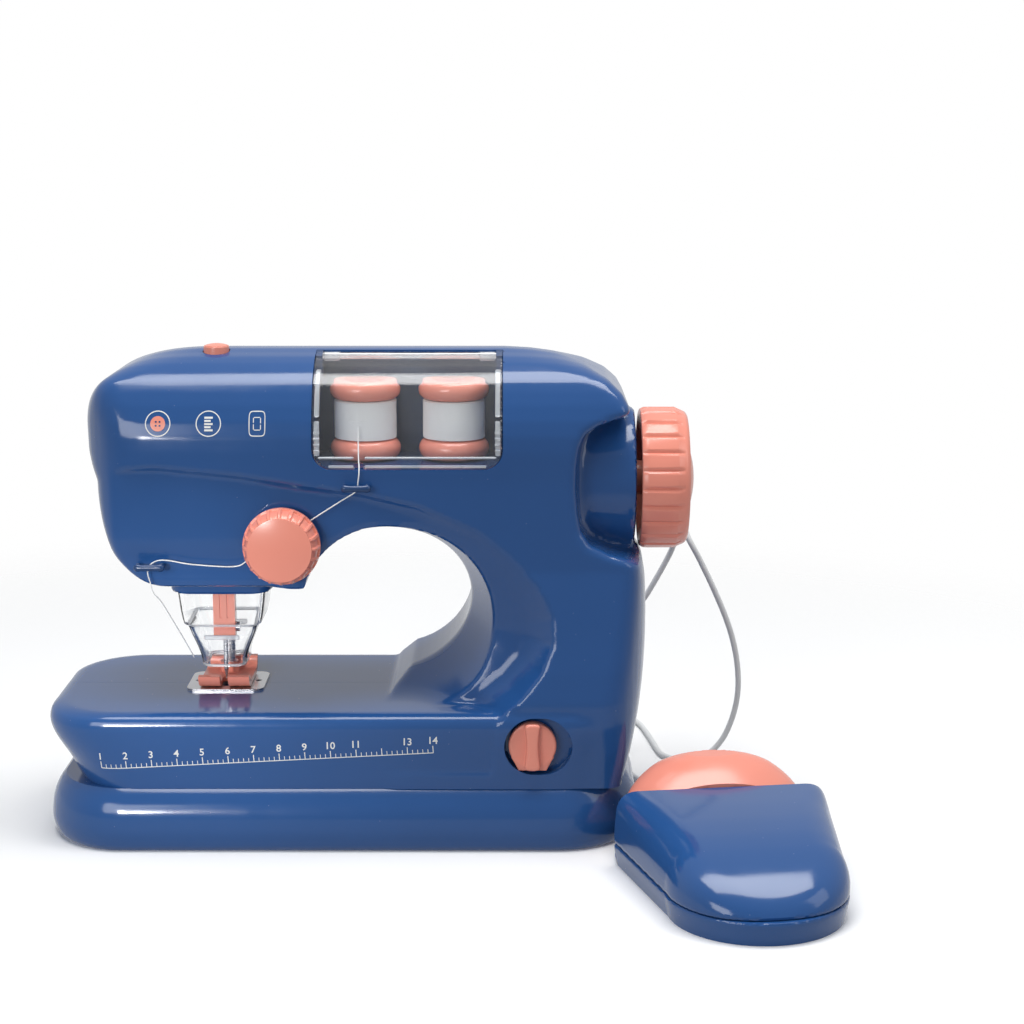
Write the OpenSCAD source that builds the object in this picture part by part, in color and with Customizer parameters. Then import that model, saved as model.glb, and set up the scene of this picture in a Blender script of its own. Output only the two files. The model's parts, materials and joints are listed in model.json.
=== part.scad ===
// Toy sewing machine with spool window, handwheel, lamp and foot pedal.
// Millimetres. X runs along the arm, Y to the back, Z up. The origin is the middle of the plinth's underside.

/* [Base and bed] */
// length of the plinth
plinth_l = 242; // [234:1:250]
// depth of the plinth
plinth_w = 106; // [104:1:112]
// height of the plinth
plinth_h = 25; // [24:0.5:27]
// wall of casings and plinth
wall = 2.4; // [2.2:0.1:2.6]
// height of the bed's top
bed_z = 56; // [55.5:0.1:56.5]
// depth of the bed
bed_w = 100; // [98:1:102]

/* [Arm and column] */
// height of the arm's top
arm_z = 197.5; // [196:0.5:200]
// height of the head's underside
head_z = 104; // [103:0.5:105]
// radius of the throat's round end
throat_r = 33.7; // [31:0.1:34]
// widest reach of the column
column_x = 125; // [124:0.5:127]
// how far the lower head stands back from the arm
head_step = 2.4; // [1.5:0.1:3]

/* [Drive] */
// height of the main shaft
shaft_z = 143.6; // [143:0.1:144.2]
// radius of the main shaft
shaft_r = 2.5; // [2:0.1:3]
// radius of the handwheel
wheel_r = 29; // [27:0.5:31]
// width of the handwheel
wheel_w = 18; // [16:0.5:20]
// grip ribs round the handwheel
wheel_ribs = 20; // [16:1:24]
// teeth of the drive gear
gear_teeth = 32; // [30:2:34]
// teeth of the motor pinion
pinion_teeth = 10; // [10:1:11]
// crank radius of the needle drive
crank_r = 7; // [6:0.5:7.5]

/* [Needle and foot] */
// middle of needle and foot
needle_x = -50; // [-51:0.5:-49]
// needle travel
needle_travel = 14; // [12:0.5:14]
// foot lift
foot_lift = 4; // [3:0.5:4]
// width of the presser foot
foot_w = 21; // [18:0.5:22]

/* [Spool window] */
// left edge of the window
window_x0 = -10; // [-11:0.5:-9]
// right edge of the window
window_x1 = 65.4; // [64.4:0.5:66.4]
// lower edge of the window
window_z = 153; // [152.5:0.1:153.5]
// radius of the spool flanges
spool_r = 14.2; // [13:0.1:14.4]
// height of the spools
spool_h = 32; // [30:0.5:32.5]
// turns of the outer thread layer
thread_turns = 11; // [8:1:11]
// thread thickness on the spools
thread_d = 0.8; // [0.7:0.05:0.85]

/* [Knobs] */
// radius of the tension knob
tension_r = 15.4; // [14:0.1:16]
// radius of the switch knob
power_r = 9.6; // [9:0.1:9.8]
// travel of the switch knob
power_travel = 3.5; // [2:0.5:4]
// radius of the light button
button_r = 5.2; // [4.6:0.1:5.4]

/* [Pedal] */
// length of the pedal
pedal_l = 127; // [122:1:130]
// width of the pedal
pedal_w = 86; // [84:1:88]
// turn of the pedal
pedal_turn = 8; // [6:0.5:9]
// press angle of the treadle
pedal_press = 6; // [4:0.5:6]

/* [Cord] */
// thickness of the cord
cord_d = 2.6; // [2.2:0.1:2.8]
// gap between the coil's loops
coil_gap = 0.5; // [0.45:0.05:0.8]

/* [Fits] */
// running fit, radial
fit = 0.05; // [0.03:0.01:0.08]
// free gap between bodies
gap = 0.4; // [0.35:0.05:0.5]

/* [Hidden] */
$fn = 64;
blue = [0.07, 0.1, 0.55];
dark_blue = [0.05, 0.07, 0.4];
salmon = [0.93, 0.42, 0.38];
clear = [0.85, 0.9, 0.92, 0.4];
steel = [0.7, 0.7, 0.72];
brass = [0.75, 0.6, 0.3];
cream = [0.93, 0.9, 0.82];
white = [0.95, 0.95, 0.95];
black = [0.1, 0.1, 0.1];

seam_z = plinth_h;
throat_c = [18.5, 96];
boss_r = 28;
boss_x = 119;
shelf_z = window_z + 0.5;
spool_y = -11;
spool_x = [9.75, 45.5];
pin_r = 3;
hinge_yz = [-9, arm_z - 3.3];
barrel_r = 2.2;
window_back = -6.2;
tension_p = [-22, 123.2];
power_p = [77.2, 43];
power_c = [79.5, 43];
button_p = [-50.5, -7];
lamp_p = [-91, 126];
lamp_tilt = 25;
needle_y = -6;
presser_y = 6;
presser_r = 2.5;
pinion_z = shaft_z - (gear_teeth + pinion_teeth) / 2;
gear_x = 84;
pedal_at = [plinth_l / 2 + 25.5, -23.4, 0];
pedal_edge = 38;
screw_at = [[-72, 176], [84, 178], [104, 96], [-78, 42], [36, 42]];
base_screw_at = [[-92, -28], [-92, 28], [4, -34], [4, 34]];

// round stretch of an outline
function arc(c, r, a0, a1, n) =
  [for (i = [0:n]) let (a = a0 + (a1 - a0) * i / n) [c[0] + r[0] * cos(a), c[1] + r[1] * sin(a)]];
function unit(v) = v / norm(v);
// outline moved inwards by d, for an outline that runs anticlockwise
function inset(p, d) = [for (i = [0:len(p) - 1])
  let (n = len(p),
       e = unit(p[i] - p[(i + n - 1) % n]),
       f = unit(p[(i + 1) % n] - p[i]),
       a = [-e[1], e[0]],
       b = [-f[1], f[0]])
  p[i] + d * (a + b) / (1 + a * b)];
// rectangle with round corners
function round_box(x0, x1, y0, y1, r, n = 8) = concat(
  arc([x1 - r, y1 - r], [r, r], 0, 90, n),
  arc([x0 + r, y1 - r], [r, r], 90, 180, n),
  arc([x0 + r, y0 + r], [r, r], 180, 270, n),
  arc([x1 - r, y0 + r], [r, r], 270, 360, n));
function mirror_y(p) = [for (i = [len(p) - 1:-1:0]) [-p[i][0], p[i][1]]];

// front view of arm, head and column, without the bed
front_line = concat(
  [[20, 14], [112, 14]],
  [for (z = [26:10:106]) [column_x - pow(z - 88, 2) / 340, z]],
  [[118.5, 113], [101, 117], [97, 124], [97, 163], [103, 169]],
  arc([67, arm_z - 38], [49, 38], 18, 90, 10),
  arc([-50, arm_z - 30.5], [55, 30.5], 90, 180, 12),
  [[-104.2, 157], [-101.5, 151]],
  arc([-70, 146], [28.5, 146 - head_z], 180, 270, 10),
  arc(throat_c, [throat_r, throat_r], 180 - asin((head_z - throat_c[1]) / throat_r), -75, 26),
  [[20, bed_z + 1.5]]);

// half depth of arm, head and column over the height
depth_at = [[14, 46], [50, 49.4], [60, 49], [84, 44.6], [112, 39], [148, 38], [160, 38.2],
  [170, 37], [180, 33], [187, 28.6], [193, 20.5], [196.2, 12], [arm_z, 7]];
function depth(z) = lookup(z, depth_at);
section_line = concat(
  [for (p = depth_at) [p[1], p[0]]],
  [for (i = [len(depth_at) - 1:-1:0]) [-depth_at[i][1], depth_at[i][0]]]);

// plan of arm and column
plan_line = concat(
  arc([column_x - 30, 0], [30, 56], -78, 78, 16),
  arc([-70, 0], [35, 43], 100, 260, 16));

module along_y(p, y0, y1) {
  translate([0, y1, 0])
    rotate([90, 0, 0])
      linear_extrude(y1 - y0)
        polygon(p);
}
module along_x(p, x0, x1) {
  translate([x0, 0, 0])
    rotate([90, 0, 90])
      linear_extrude(x1 - x0)
        polygon(p);
}
module slab(p, z, h = 0.2) {
  translate([0, 0, z])
    linear_extrude(h)
      polygon(p);
}
module rod_y(x, z, r, y0, y1) {
  translate([x, y1, z])
    rotate([90, 0, 0])
      cylinder(r = r, h = y1 - y0);
}
module rod_x(y, z, r, x0, x1) {
  translate([x0, y, z])
    rotate([0, 90, 0])
      cylinder(r = r, h = x1 - x0);
}

// arm, head and column as one block
module frame_block(d) {
  intersection() {
    along_y(inset(front_line, d), -70, 70);
    along_x(inset(section_line, d), -140, 150);
    slab(inset(plan_line, d), 0, 230);
  }
}
// bed with its sides drawn in towards the plinth
module bed_block(d) {
  hull() {
    slab(round_box(-103 + d, 111 - d, -46 + d, 46 - d, 26 - d), 14);
    slab(round_box(-120 + d, 117.5 - d, -bed_w / 2 + d, bed_w / 2 - d, 28 - d), bed_z - 5.5 - d);
    slab(round_box(-118.7 + d, 116.5 - d, -bed_w / 2 + 1.2 + d, bed_w / 2 - 1.2 - d, 27 - d),
      bed_z - 1.8 - d);
    slab(round_box(-115.5 + d, 114 - d, -bed_w / 2 + 4 + d, bed_w / 2 - 4 - d, 25 - d), bed_z - 0.2 - d);
  }
}

// front area that stands back below the arm's crease and left of the column's face
step_points = [[-125, 92], [15, 92], [15, 30], [62, 30], [66, bed_z], [73, 62], [81, 72], [85.5, 83],
  [85, 94], [79, 105.5], [70, 115.5], [56, 127], [32, 138], [9, 143.3], [-15, 146.7], [-40, 150.7], [-72, 154],
  [-98, 153], [-125, 151]];
module step_back(d) {
  along_y(inset(step_points, -d), -80, -38 + head_step + d);
}
// slanted band round the lower right of the throat
module throat_flare(d) {
  translate([throat_c[0] + 5, 0, throat_c[1] - 6])
    rotate([90, 0, 0])
      translate([0, 0, 12 - d])
        cylinder(r1 = throat_r - 2.5 + d, r2 = throat_r + 15 + d, h = 50);
}
// skirt that holds the needle guard
function skirt_line(d) = round_box(-71 + d, -29.5 - d, -20 + d, 20 - d, 9 - d, 6);
// oval of the lamp, across its own axis
function lamp_line(d) = arc([0, 0], [18 - d, 13 - d], 0, 352.5, 47);
module at_lamp() {
  translate([lamp_p[0], 0, lamp_p[1]])
    rotate([0, -90 - lamp_tilt, 0])
      children();
}
// oval recess of the power switch
function recess_line(d) = concat(
  arc([power_c[0] + 1.8, power_c[1]], [11.8 - d, 11.8 - d], -90, 90, 14),
  arc([power_c[0] - 1.8, power_c[1]], [11.8 - d, 11.8 - d], 90, 270, 14));
recess_y = -43.5;
function post_y(i) = screw_at[i][1] < 60 ? bed_w / 2 - 2.6 : depth(screw_at[i][1] + 4) - 1.2;

module casing_outside() {
  difference() {
    frame_block(0);
    step_back(0);
    throat_flare(0);
  }
  bed_block(0);
  rod_x(0, shaft_z, boss_r, 90, boss_x);
  slab(skirt_line(0), head_z - 5.5, 8);
}
module casing_inside() {
  difference() {
    frame_block(wall);
    step_back(wall);
    throat_flare(wall);
  }
  bed_block(wall);
  rod_x(0, shaft_z, boss_r - wall, 88, boss_x - wall);
}
module casing_shell() {
  difference() {
    casing_outside();
    casing_inside();
    slab(skirt_line(wall), head_z - 8, 8);
    slab(round_box(needle_x - 4.9, needle_x + 4.9, needle_y - 2.9, presser_y + 2.9, 0.3, 1), head_z - 3, 8);
    rod_x(0, shaft_z, shaft_r + 1, boss_x - 5, boss_x + 5);
    slab(round_box(needle_x - 3, needle_x + 3, needle_y - 3, needle_y + 3, 2, 3), bed_z - 6, 12);
    at_lamp()
      translate([0, 0, -20])
        linear_extrude(60)
          polygon(lamp_line(0));
  }
}
module half(front) {
  translate([-200, front ? -100 : 0, seam_z])
    cube([400, 100, 200]);
}

module front_casing() {
  color(blue)
    difference() {
      union() {
        intersection() {
          casing_shell();
          half(true);
        }
        intersection() {
          along_y(recess_line(-wall), -48, recess_y + wall);
          frame_block(0.5);
        }
        for (i = [0:len(screw_at) - 1])
          rod_y(screw_at[i][0], screw_at[i][1], 4, -post_y(i), 0);
        for (b = base_screw_at)
          if (b[1] < 0)
            translate([b[0], b[1], seam_z])
              cylinder(r = 4.2, h = bed_z - 1 - seam_z);
      }
      along_y(round_box(window_x0, window_x1, window_z, arm_z + 30, 8), -80, window_back);
      along_y(recess_line(0), -80, recess_y);
      along_y(
        round_box(power_p[0] - 2.4, power_p[0] + power_travel + 2.4, power_p[1] - 2.4, power_p[1] + 2.4, 2),
        -80, -30);
      rod_y(tension_p[0], tension_p[1], 3.2, -60, -30);
      translate([button_p[0], button_p[1], arm_z - 10])
        cylinder(r = button_r + 0.3, h = 20);
      for (s = screw_at)
        rod_y(s[0], s[1], 1.5 + fit, -24, 1);
      for (b = base_screw_at)
        if (b[1] < 0)
          translate([b[0], b[1], seam_z - 1])
            cylinder(r = 1.5 + fit, h = 18);
    }
}
module rear_casing() {
  color(blue)
    difference() {
      union() {
        intersection() {
          casing_shell();
          half(false);
        }
        for (i = [0:len(screw_at) - 1])
          rod_y(screw_at[i][0], screw_at[i][1], 4.8, 0, post_y(i));
        for (b = base_screw_at)
          if (b[1] > 0)
            translate([b[0], b[1], seam_z])
              cylinder(r = 4.2, h = bed_z - 1 - seam_z);
        translate([91, -8, shaft_z - 10])
          cube([3, 44, 20]);
        translate([-24, -8, shaft_z - 7])
          cube([3, 44, 14]);
        translate([60, -10.5, pinion_z - 10.6])
          cube([20, 47.2, 3]);
        translate([-56, -12, arm_z - 22])
          cube([11, 45, 2.5]);
        translate([needle_x - 7, 1, 144])
          cube([10.8, 35.4, 3]);
      }
      for (x = [91, -24])
        rod_x(0, shaft_z, shaft_r + 2, x - 1, x + 4);
      for (s = screw_at) {
        rod_y(s[0], s[1], 1.8, -1, 80);
        rod_y(s[0], s[1], 3.4, 8, 80);
      }
      for (b = base_screw_at)
        if (b[1] > 0)
          translate([b[0], b[1], seam_z - 1])
            cylinder(r = 1.5 + fit, h = 18);
      translate([needle_x, presser_y, 140])
        cylinder(r = presser_r + 0.3, h = 10);
      rod_y(cord_exit[0], cord_exit[2], 3.1, 30, 80);
    }
}
module casing_screws() {
  color(steel)
    for (s = screw_at) {
      rod_y(s[0], s[1], 1.5, -16, 8.2);
      difference() {
        rod_y(s[0], s[1], 3, 8, 10.4);
        translate([s[0] - 2.2, 9.6, s[1] - 0.4])
          cube([4.4, 2, 0.8]);
        translate([s[0] - 0.4, 9.6, s[1] - 2.2])
          cube([0.8, 2, 4.4]);
      }
    }
}

function plinth_line(d) =
  round_box(-plinth_l / 2 + d, plinth_l / 2 - d, -plinth_w / 2 + d, plinth_w / 2 - d, 34 - d, 10);
module plinth_block(d) {
  hull() {
    slab(plinth_line(3.2 + d), d > 0 ? wall : 0);
    slab(plinth_line(0.9 + d), 3);
    slab(plinth_line(d), 8);
    slab(plinth_line(0.5 + d), 14);
    slab(plinth_line(2.4 + d), 20);
    slab(plinth_line(5.2 + d), plinth_h - 0.2 - (d > 0 ? wall : 0));
  }
}
door = [28.8, 83.2, -31, 31];
module base_tray() {
  color(blue)
    difference() {
      union() {
        difference() {
          plinth_block(0);
          plinth_block(wall);
          slab(plinth_line(13.6), plinth_h - wall - 1, 6);
        }
        for (b = base_screw_at)
          translate([b[0], b[1], 1])
            cylinder(r = 4.6, h = seam_z - 1);
        translate([door[1] + 3.6, -5, 1])
          cube([8, 10, 7]);
      }
      slab(round_box(door[0], door[1], door[2], door[3], 2, 3), -1, 6);
      for (b = base_screw_at)
        translate([b[0], b[1], -1]) {
          cylinder(r = 1.8, h = 40);
          cylinder(r = 3.4, h = 13);
        }
      translate([door[1] - 2, -5, -1])
        cube([11.6, 10, 2.9]);
      translate([door[1] + 6, 0, -1])
        cylinder(r = 1.2 + fit, h = 8);
    }
}
module base_screws() {
  color(steel)
    for (b = base_screw_at)
      translate([b[0], b[1], 0]) {
        translate([0, 0, 11.9])
          cylinder(r = 1.5, h = 26);
        difference() {
          translate([0, 0, 9.6])
            cylinder(r = 3, h = 2.4);
          translate([-2.2, -0.4, 9])
            cube([4.4, 0.8, 1.4]);
          translate([-0.4, -2.2, 9])
            cube([0.8, 4.4, 1.4]);
        }
      }
}

module battery_box() {
  color(dark_blue)
    difference() {
      translate([door[0] - 2.6, door[2] - 2.6, wall])
        cube([door[1] - door[0] + 5.2, door[3] - door[2] + 5.2, 16.4]);
      translate([door[0], door[2], 0])
        cube([door[1] - door[0], door[3] - door[2], 17]);
      for (y = [-12, 12])
        translate([door[0] - 4, y - 1, 12])
          cube([5, 2, 10]);
    }
}
module battery_cells() {
  for (i = [0:3])
    translate([i % 2 == 0 ? door[0] + 1.6 : door[1] - 1.6, -22.8 + 15.2 * i, 9.7])
      rotate([0, i % 2 == 0 ? 90 : -90, 0]) {
        color(black)
          cylinder(r = 7.1, h = 49.3);
        color(steel)
          translate([0, 0, 49.2])
            cylinder(r = 2.7, h = 1.1);
      }
}
module battery_contacts() {
  color(steel)
    for (i = [0:3]) {
      translate([door[0] + 0.1, -28.8 + 15.2 * i, 4])
        cube([0.5, 12, 11]);
      translate([door[1] - 0.6, -28.8 + 15.2 * i, 4])
        cube([0.5, 12, 11]);
    }
}
module battery_door() {
  color(blue)
    difference() {
      union() {
        slab(round_box(door[0] + 0.3, door[1] - 0.3, door[2] + 0.3, door[3] - 0.3, 1.8, 3), 0, 2.2);
        translate([door[1] - 4, -4.6, 0])
          cube([13, 9.2, 1.6]);
      }
      translate([door[1] + 6, 0, -1])
        cylinder(r = 1.4, h = 6);
      translate([door[1] + 6, 0, -1])
        cylinder(r = 2.5, h = 1.9);
      for (x = [0:4])
        translate([door[0] + 4 + 2.4 * x, -12, -0.5])
          cube([1.2, 24, 1.1]);
    }
}
module door_screw() {
  color(steel)
    translate([door[1] + 6, 0, 0]) {
      translate([0, 0, 0.8])
        cylinder(r = 1.2, h = 5.6);
      difference() {
        translate([0, 0, 0.1])
          cylinder(r = 2.3, h = 0.75);
        translate([-1.7, -0.3, -0.5])
          cube([3.4, 0.6, 0.9]);
        translate([-0.3, -1.7, -0.5])
          cube([0.6, 3.4, 0.9]);
      }
    }
}

// sewing parts
module needle_plate() {
  color(steel)
    difference() {
      slab(round_box(needle_x - 16, needle_x + 16, -14, 14, 4, 5), bed_z, 0.9);
      slab(round_box(needle_x - 1.6, needle_x + 1.6, needle_y - 2.6, needle_y + 2.6, 1.5, 5), bed_z - 1, 3);
      for (x = [-12.6, 12.6])
        translate([needle_x + x, 0, bed_z - 1])
          cylinder(r = 1.2, h = 3);
    }
}
bar_top = 158;
bar_z = 78;
module needle_bar() {
  color(salmon)
    difference() {
      translate([needle_x - 4.5, needle_y - 2.5, bar_z])
        cube([9, 5, bar_top - bar_z]);
      for (x = [-1.9, 1.1])
        translate([needle_x + x, needle_y - 3, bar_z + 8])
          cube([0.8, 1, 60]);
      translate([needle_x, needle_y, bar_z - 1])
        cylinder(r = 0.9, h = 10);
      rod_x(needle_y, bar_z + 4, 1.2, needle_x, needle_x + 6);
    }
}
module needle_clamp_screw() {
  color(steel) {
    rod_x(needle_y, bar_z + 4, 1.15, needle_x + 1.1, needle_x + 4.6);
    rod_x(needle_y, bar_z + 4, 2, needle_x + 4.5, needle_x + 6.2);
  }
}
module needle() {
  color(steel)
    translate([needle_x, needle_y, 0]) {
      translate([0, 0, 63.4])
        cylinder(r = 0.9, h = bar_z + 8 - 63.4);
      translate([0, 0, 59.4])
        cylinder(r1 = 0.12, r2 = 0.9, h = 4);
    }
}
// crank disc: its pin stops short of the yoke's slot
yoke_x = needle_x + 4.5;
crank_x = yoke_x + 5.2;
module needle_yoke() {
  color(white)
    difference() {
      translate([yoke_x, needle_y - 2.5, shaft_z + crank_r - 6])
        cube([2.4, 18, 10]);
      translate([yoke_x - 1, needle_y + 0.2, shaft_z + crank_r - 2.6])
        cube([5, 14, 4.4]);
    }
}
module crank_disc() {
  color(white)
    difference() {
      union() {
        rod_x(0, shaft_z, crank_r + 3, crank_x, crank_x + 3);
        rod_x(0, shaft_z, 5, crank_x + 2.9, crank_x + 8);
        rod_x(0, shaft_z + crank_r, 1.7, yoke_x + 2.4 + gap, crank_x + 0.1);
      }
      rod_x(0, shaft_z, shaft_r, crank_x - 1, crank_x + 12);
    }
}
foot_z = bed_z + 0.9 + 0.35;
module presser_foot() {
  color(salmon)
    difference() {
      union() {
        along_x(foot_line, needle_x - foot_w / 2, needle_x + foot_w / 2);
        translate([needle_x, presser_y, foot_z + 1])
          cylinder(r = 4, h = 6);
      }
      translate([needle_x - 1.7, -40, foot_z - 1])
        cube([3.4, 40 + needle_y + 3, 30]);
      translate([needle_x, presser_y, foot_z + 2.5])
        cylinder(r = presser_r, h = 20);
      for (s = [-1, 1])
        translate([needle_x + s * foot_w / 2, 0, 0])
          rotate([0, 0, s * 12])
            translate([s > 0 ? 0 : -6, -24, foot_z - 1])
              cube([6, 24, 30]);
    }
}
// ski of the foot: flat sole, both ends curled up
foot_line = concat(
  arc([-9.4, foot_z + 6.4], [6.4, 6.4], 190, 270, 7),
  arc([9.4, foot_z + 6.4], [6.4, 6.4], 270, 365, 8),
  arc([9.4, foot_z + 6.4], [4.2, 4.2], 365, 270, 7),
  arc([-9.4, foot_z + 6.4], [4.2, 4.2], 270, 190, 6));
module presser_bar() {
  color(steel)
    translate([needle_x, presser_y, 0]) {
      translate([0, 0, foot_z + 2.5])
        cylinder(r = presser_r, h = 160 - foot_z - 2.5);
      translate([0, 0, 120])
        difference() {
          cylinder(r = 4.4, h = 3);
          translate([0, 0, -1])
            cylinder(r = presser_r, h = 5);
        }
    }
}
module presser_spring() {
  color(steel)
    translate([needle_x, presser_y, 0])
      difference() {
        translate([0, 0, 123.3])
          cylinder(r = 4.2, h = 20.2);
        translate([0, 0, 122])
          cylinder(r = 3.2, h = 40);
      }
}
// clear funnel that hangs in the skirt
module needle_guard() {
  color(clear)
    difference() {
      guard_block(0);
      guard_block(1.6);
    }
}
module guard_block(d) {
  slab(skirt_line(wall + 0.3 + d), head_z - 6 - (d > 0 ? 0.05 : 0), 6 - (d > 0 ? -1 : 0));
  hull() {
    slab(skirt_line(wall + 0.3 + d), head_z - 6);
    slab(round_box(-60.4 + d, -40.8 - d, -12.4 + d, 12.4 - d, 5 - d, 6), 70);
    slab(round_box(-59.4 + d, -41.4 - d, -12 + d, 12 - d, 5 - d, 6), d > 0 ? 65 : 66);
  }
}

// spool bay
function bay_line(d) = inset(section_line, d);
module spool_tray() {
  color(dark_blue)
    difference() {
      union() {
        translate([window_x0 - 2.2, -depth(window_z) + wall + 0.5, shelf_z - 2.3])
          cube([window_x1 - window_x0 + 4.4, depth(window_z) - wall + 7.5, 2.3]);
        translate([window_x0 - 2.2, 6, shelf_z - 1])
          cube([window_x1 - window_x0 + 4.4, 2, arm_z - wall - 0.8 - shelf_z]);
        intersection() {
          along_x(bay_line(wall + 0.4), window_x0 - 2.2, window_x1 + 2.2);
          for (x = [window_x0 - 2.2, window_x1 + 0.2])
            translate([x, -60, shelf_z - 1])
              cube([2, 68, 60]);
        }
        intersection() {
          along_x(bay_line(0.6), window_x0 - 3, window_x1 + 3);
          for (x = [window_x0 + 0.2, window_x1 - 2.8])
            translate([x, hinge_yz[0] - 4, arm_z - 8])
              cube([2.6, 6.4, 20]);
        }
        for (x = [window_x0 - 2.2, window_x1 - 2.8])
          translate([x, hinge_yz[0] - 4, arm_z - 12])
            cube([5, 6.4, 4.5]);
      }
      rod_x(hinge_yz[0], hinge_yz[1], 1, window_x0 - 1, window_x1 + 1);
    }
}
module spool_pins() {
  color(dark_blue)
    for (x = spool_x) {
      translate([x, spool_y, shelf_z])
        cylinder(r = pin_r, h = spool_h - 3);
      translate([x, spool_y, shelf_z + spool_h - 3])
        cylinder(r1 = pin_r, r2 = 1.6, h = 2.2);
    }
}
module cover_hinge_pin() {
  color(steel)
    rod_x(hinge_yz[0], hinge_yz[1], 1, window_x0 + 0.3, window_x1 - 0.3);
}
module spool_cover() {
  color(clear)
    difference() {
      union() {
        intersection() {
          difference() {
            along_x(bay_line(0.3), window_x0 + 0.4, window_x1 - 0.4);
            along_x(bay_line(1.9), window_x0 - 1, window_x1 + 1);
          }
          along_y(round_box(window_x0 + 0.4, window_x1 - 0.4, window_z + 0.4, arm_z + 30, 7.6),
            -80, hinge_yz[0]);
        }
        intersection() {
          difference() {
            along_x(bay_line(1), window_x0 + 0.4, window_x1 - 0.4);
            along_x(bay_line(4.2), window_x0 - 1, window_x1 + 1);
            translate([window_x0 + 2.2, -80, 100])
              cube([window_x1 - window_x0 - 4.4, 160, 160]);
          }
          along_y(round_box(window_x0 + 0.4, window_x1 - 0.4, window_z + 3, arm_z - 14, 6), -80, hinge_yz[0]);
        }
        rod_x(hinge_yz[0], hinge_yz[1], barrel_r, window_x0 + 3.2, window_x1 - 3.2);
        for (s = [0:3])
          for (x = [window_x0 + 0.5, window_x1 - 3.1])
            translate([x, -depth(163) - 0.5, 160 + 2.4 * s])
              cube([2.6, 1.8, 1.1]);
      }
      rod_x(hinge_yz[0], hinge_yz[1], 1 + fit, window_x0 - 1, window_x1 + 1);
      translate([7, -60, window_z - 1])
        cube([3.4, 40, 3.8]);
      for (x = [window_x0 - 1, window_x1 - 3.2])
        translate([x, hinge_yz[0] - 4.4, arm_z - 14])
          cube([4.2, 20, 30]);
    }
}
flange_h = 8.2;
module spool() {
  color(salmon)
    rotate_extrude()
      polygon(concat(
        [[pin_r + 0.1, 0]],
        arc([spool_r - 3.2, flange_h / 2], [3.2, flange_h / 2], -90, 90, 12),
        [[7.4, flange_h], [7.4, spool_h - flange_h]],
        arc([spool_r - 3.2, spool_h - flange_h / 2], [3.2, flange_h / 2], -90, 90, 12),
        [[8, spool_h], [7.4, spool_h - 1.4], [pin_r + 0.1, spool_h - 1.4]]));
}
// one unbroken helix of thread over a plain core
thread_core = 11.1;
thread_r = thread_core + thread_d / 2 + 0.14;
thread_rise = (spool_h - 2 * flange_h - 1.2 - thread_d) / thread_turns;
echo(thread_gap = thread_rise - thread_d);
thread_route = [for (i = [0:24 * thread_turns])
  let (a = 15 * i)
  [thread_r * cos(a), thread_r * sin(a),
   flange_h + 0.6 + thread_d / 2 + thread_rise * i / 24]];
module spool_thread() {
  color(cream) {
    difference() {
      translate([0, 0, flange_h])
        cylinder(r = thread_core, h = spool_h - 2 * flange_h);
      cylinder(r = 7.4, h = 60);
    }
    tube(thread_route, thread_d / 2, 6);
  }
}
module left_spool() {
  translate([spool_x[0], spool_y, shelf_z + 0.3])
    spool();
}
module left_thread() {
  translate([spool_x[0], spool_y, shelf_z + 0.3])
    spool_thread();
}
module right_spool() {
  translate([spool_x[1], spool_y, shelf_z + 0.3])
    spool();
}
module right_thread() {
  translate([spool_x[1], spool_y, shelf_z + 0.3])
    spool_thread();
}

// tube swept along a route, with a ring across each point
function way(p, i) = unit(p[min(i + 1, len(p) - 1)] - p[max(i - 1, 0)]);
function side_of(t) = unit(cross(t, abs(t[2]) > 0.9 ? [1, 0.2, 0] : [0, 0, 1]));
function sides_from(p, i, u) = i >= len(p) ? [] :
  let (t = way(p, i), v = unit(u - t * (u * t)))
  concat([v], sides_from(p, i + 1, v));
module tube(p, r, n) {
  u = sides_from(p, 0, side_of(way(p, 0)));
  m = len(p);
  ring = [for (i = [0:m - 1]) let (t = way(p, i), v = cross(t, u[i]))
    for (k = [0:n - 1]) p[i] + r * (u[i] * cos(360 * k / n) + v * sin(360 * k / n))];
  polyhedron(
    points = ring,
    faces = concat(
      [[for (k = [0:n - 1]) k]],
      [for (i = [0:m - 2]) for (k = [0:n - 1]) let (a = i * n + k, b = i * n + (k + 1) % n)
        [a, a + n, b + n, b]],
      [[for (k = [n - 1:-1:0]) (m - 1) * n + k]]));
}

// drive
module handwheel() {
  color(salmon) {
    translate([0, 0, shaft_z])
      rotate([0, 90, 0])
        rotate_extrude()
          polygon(concat(
            [[0, wheel_x + wheel_w - 1.5], [shaft_r, wheel_x + wheel_w - 1.5], [shaft_r, boss_x + 0.7],
             [7, boss_x + 0.7], [7, wheel_x + wheel_w - 2.6], [wheel_r - 3.2, wheel_x + wheel_w - 2.6],
             [wheel_r - 3.2, wheel_x], [wheel_r - 0.8, wheel_x]],
            arc([wheel_r - 5.3, wheel_x + wheel_w - 1], [4, 4], 0, 70, 6),
            arc([0, wheel_x + wheel_w - 37], [40.2, 41.6], 60, 90, 6)));
    for (i = [0:wheel_ribs - 1])
      translate([0, 0, shaft_z])
        rotate([360 * i / wheel_ribs, 0, 0])
          translate([wheel_x + 2, -2.6, wheel_r - 2.4])
            cube([wheel_w - 6, 5.2, 2.4]);
  }
}
wheel_x = boss_x + 2.2;
module main_shaft() {
  color(steel)
    rod_x(0, shaft_z, shaft_r, crank_x, wheel_x + wheel_w - 1.5);
}
module shaft_bushes() {
  color(brass)
    for (x = [91, -24])
      difference() {
        rod_x(0, shaft_z, shaft_r + 2, x - 0.6, x + 3.6);
        rod_x(0, shaft_z, shaft_r + fit, x - 2, x + 6);
      }
}
function involute(rb, r) = let (a = acos(min(1, rb / r))) tan(a) * 180 / PI - a;
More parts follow.
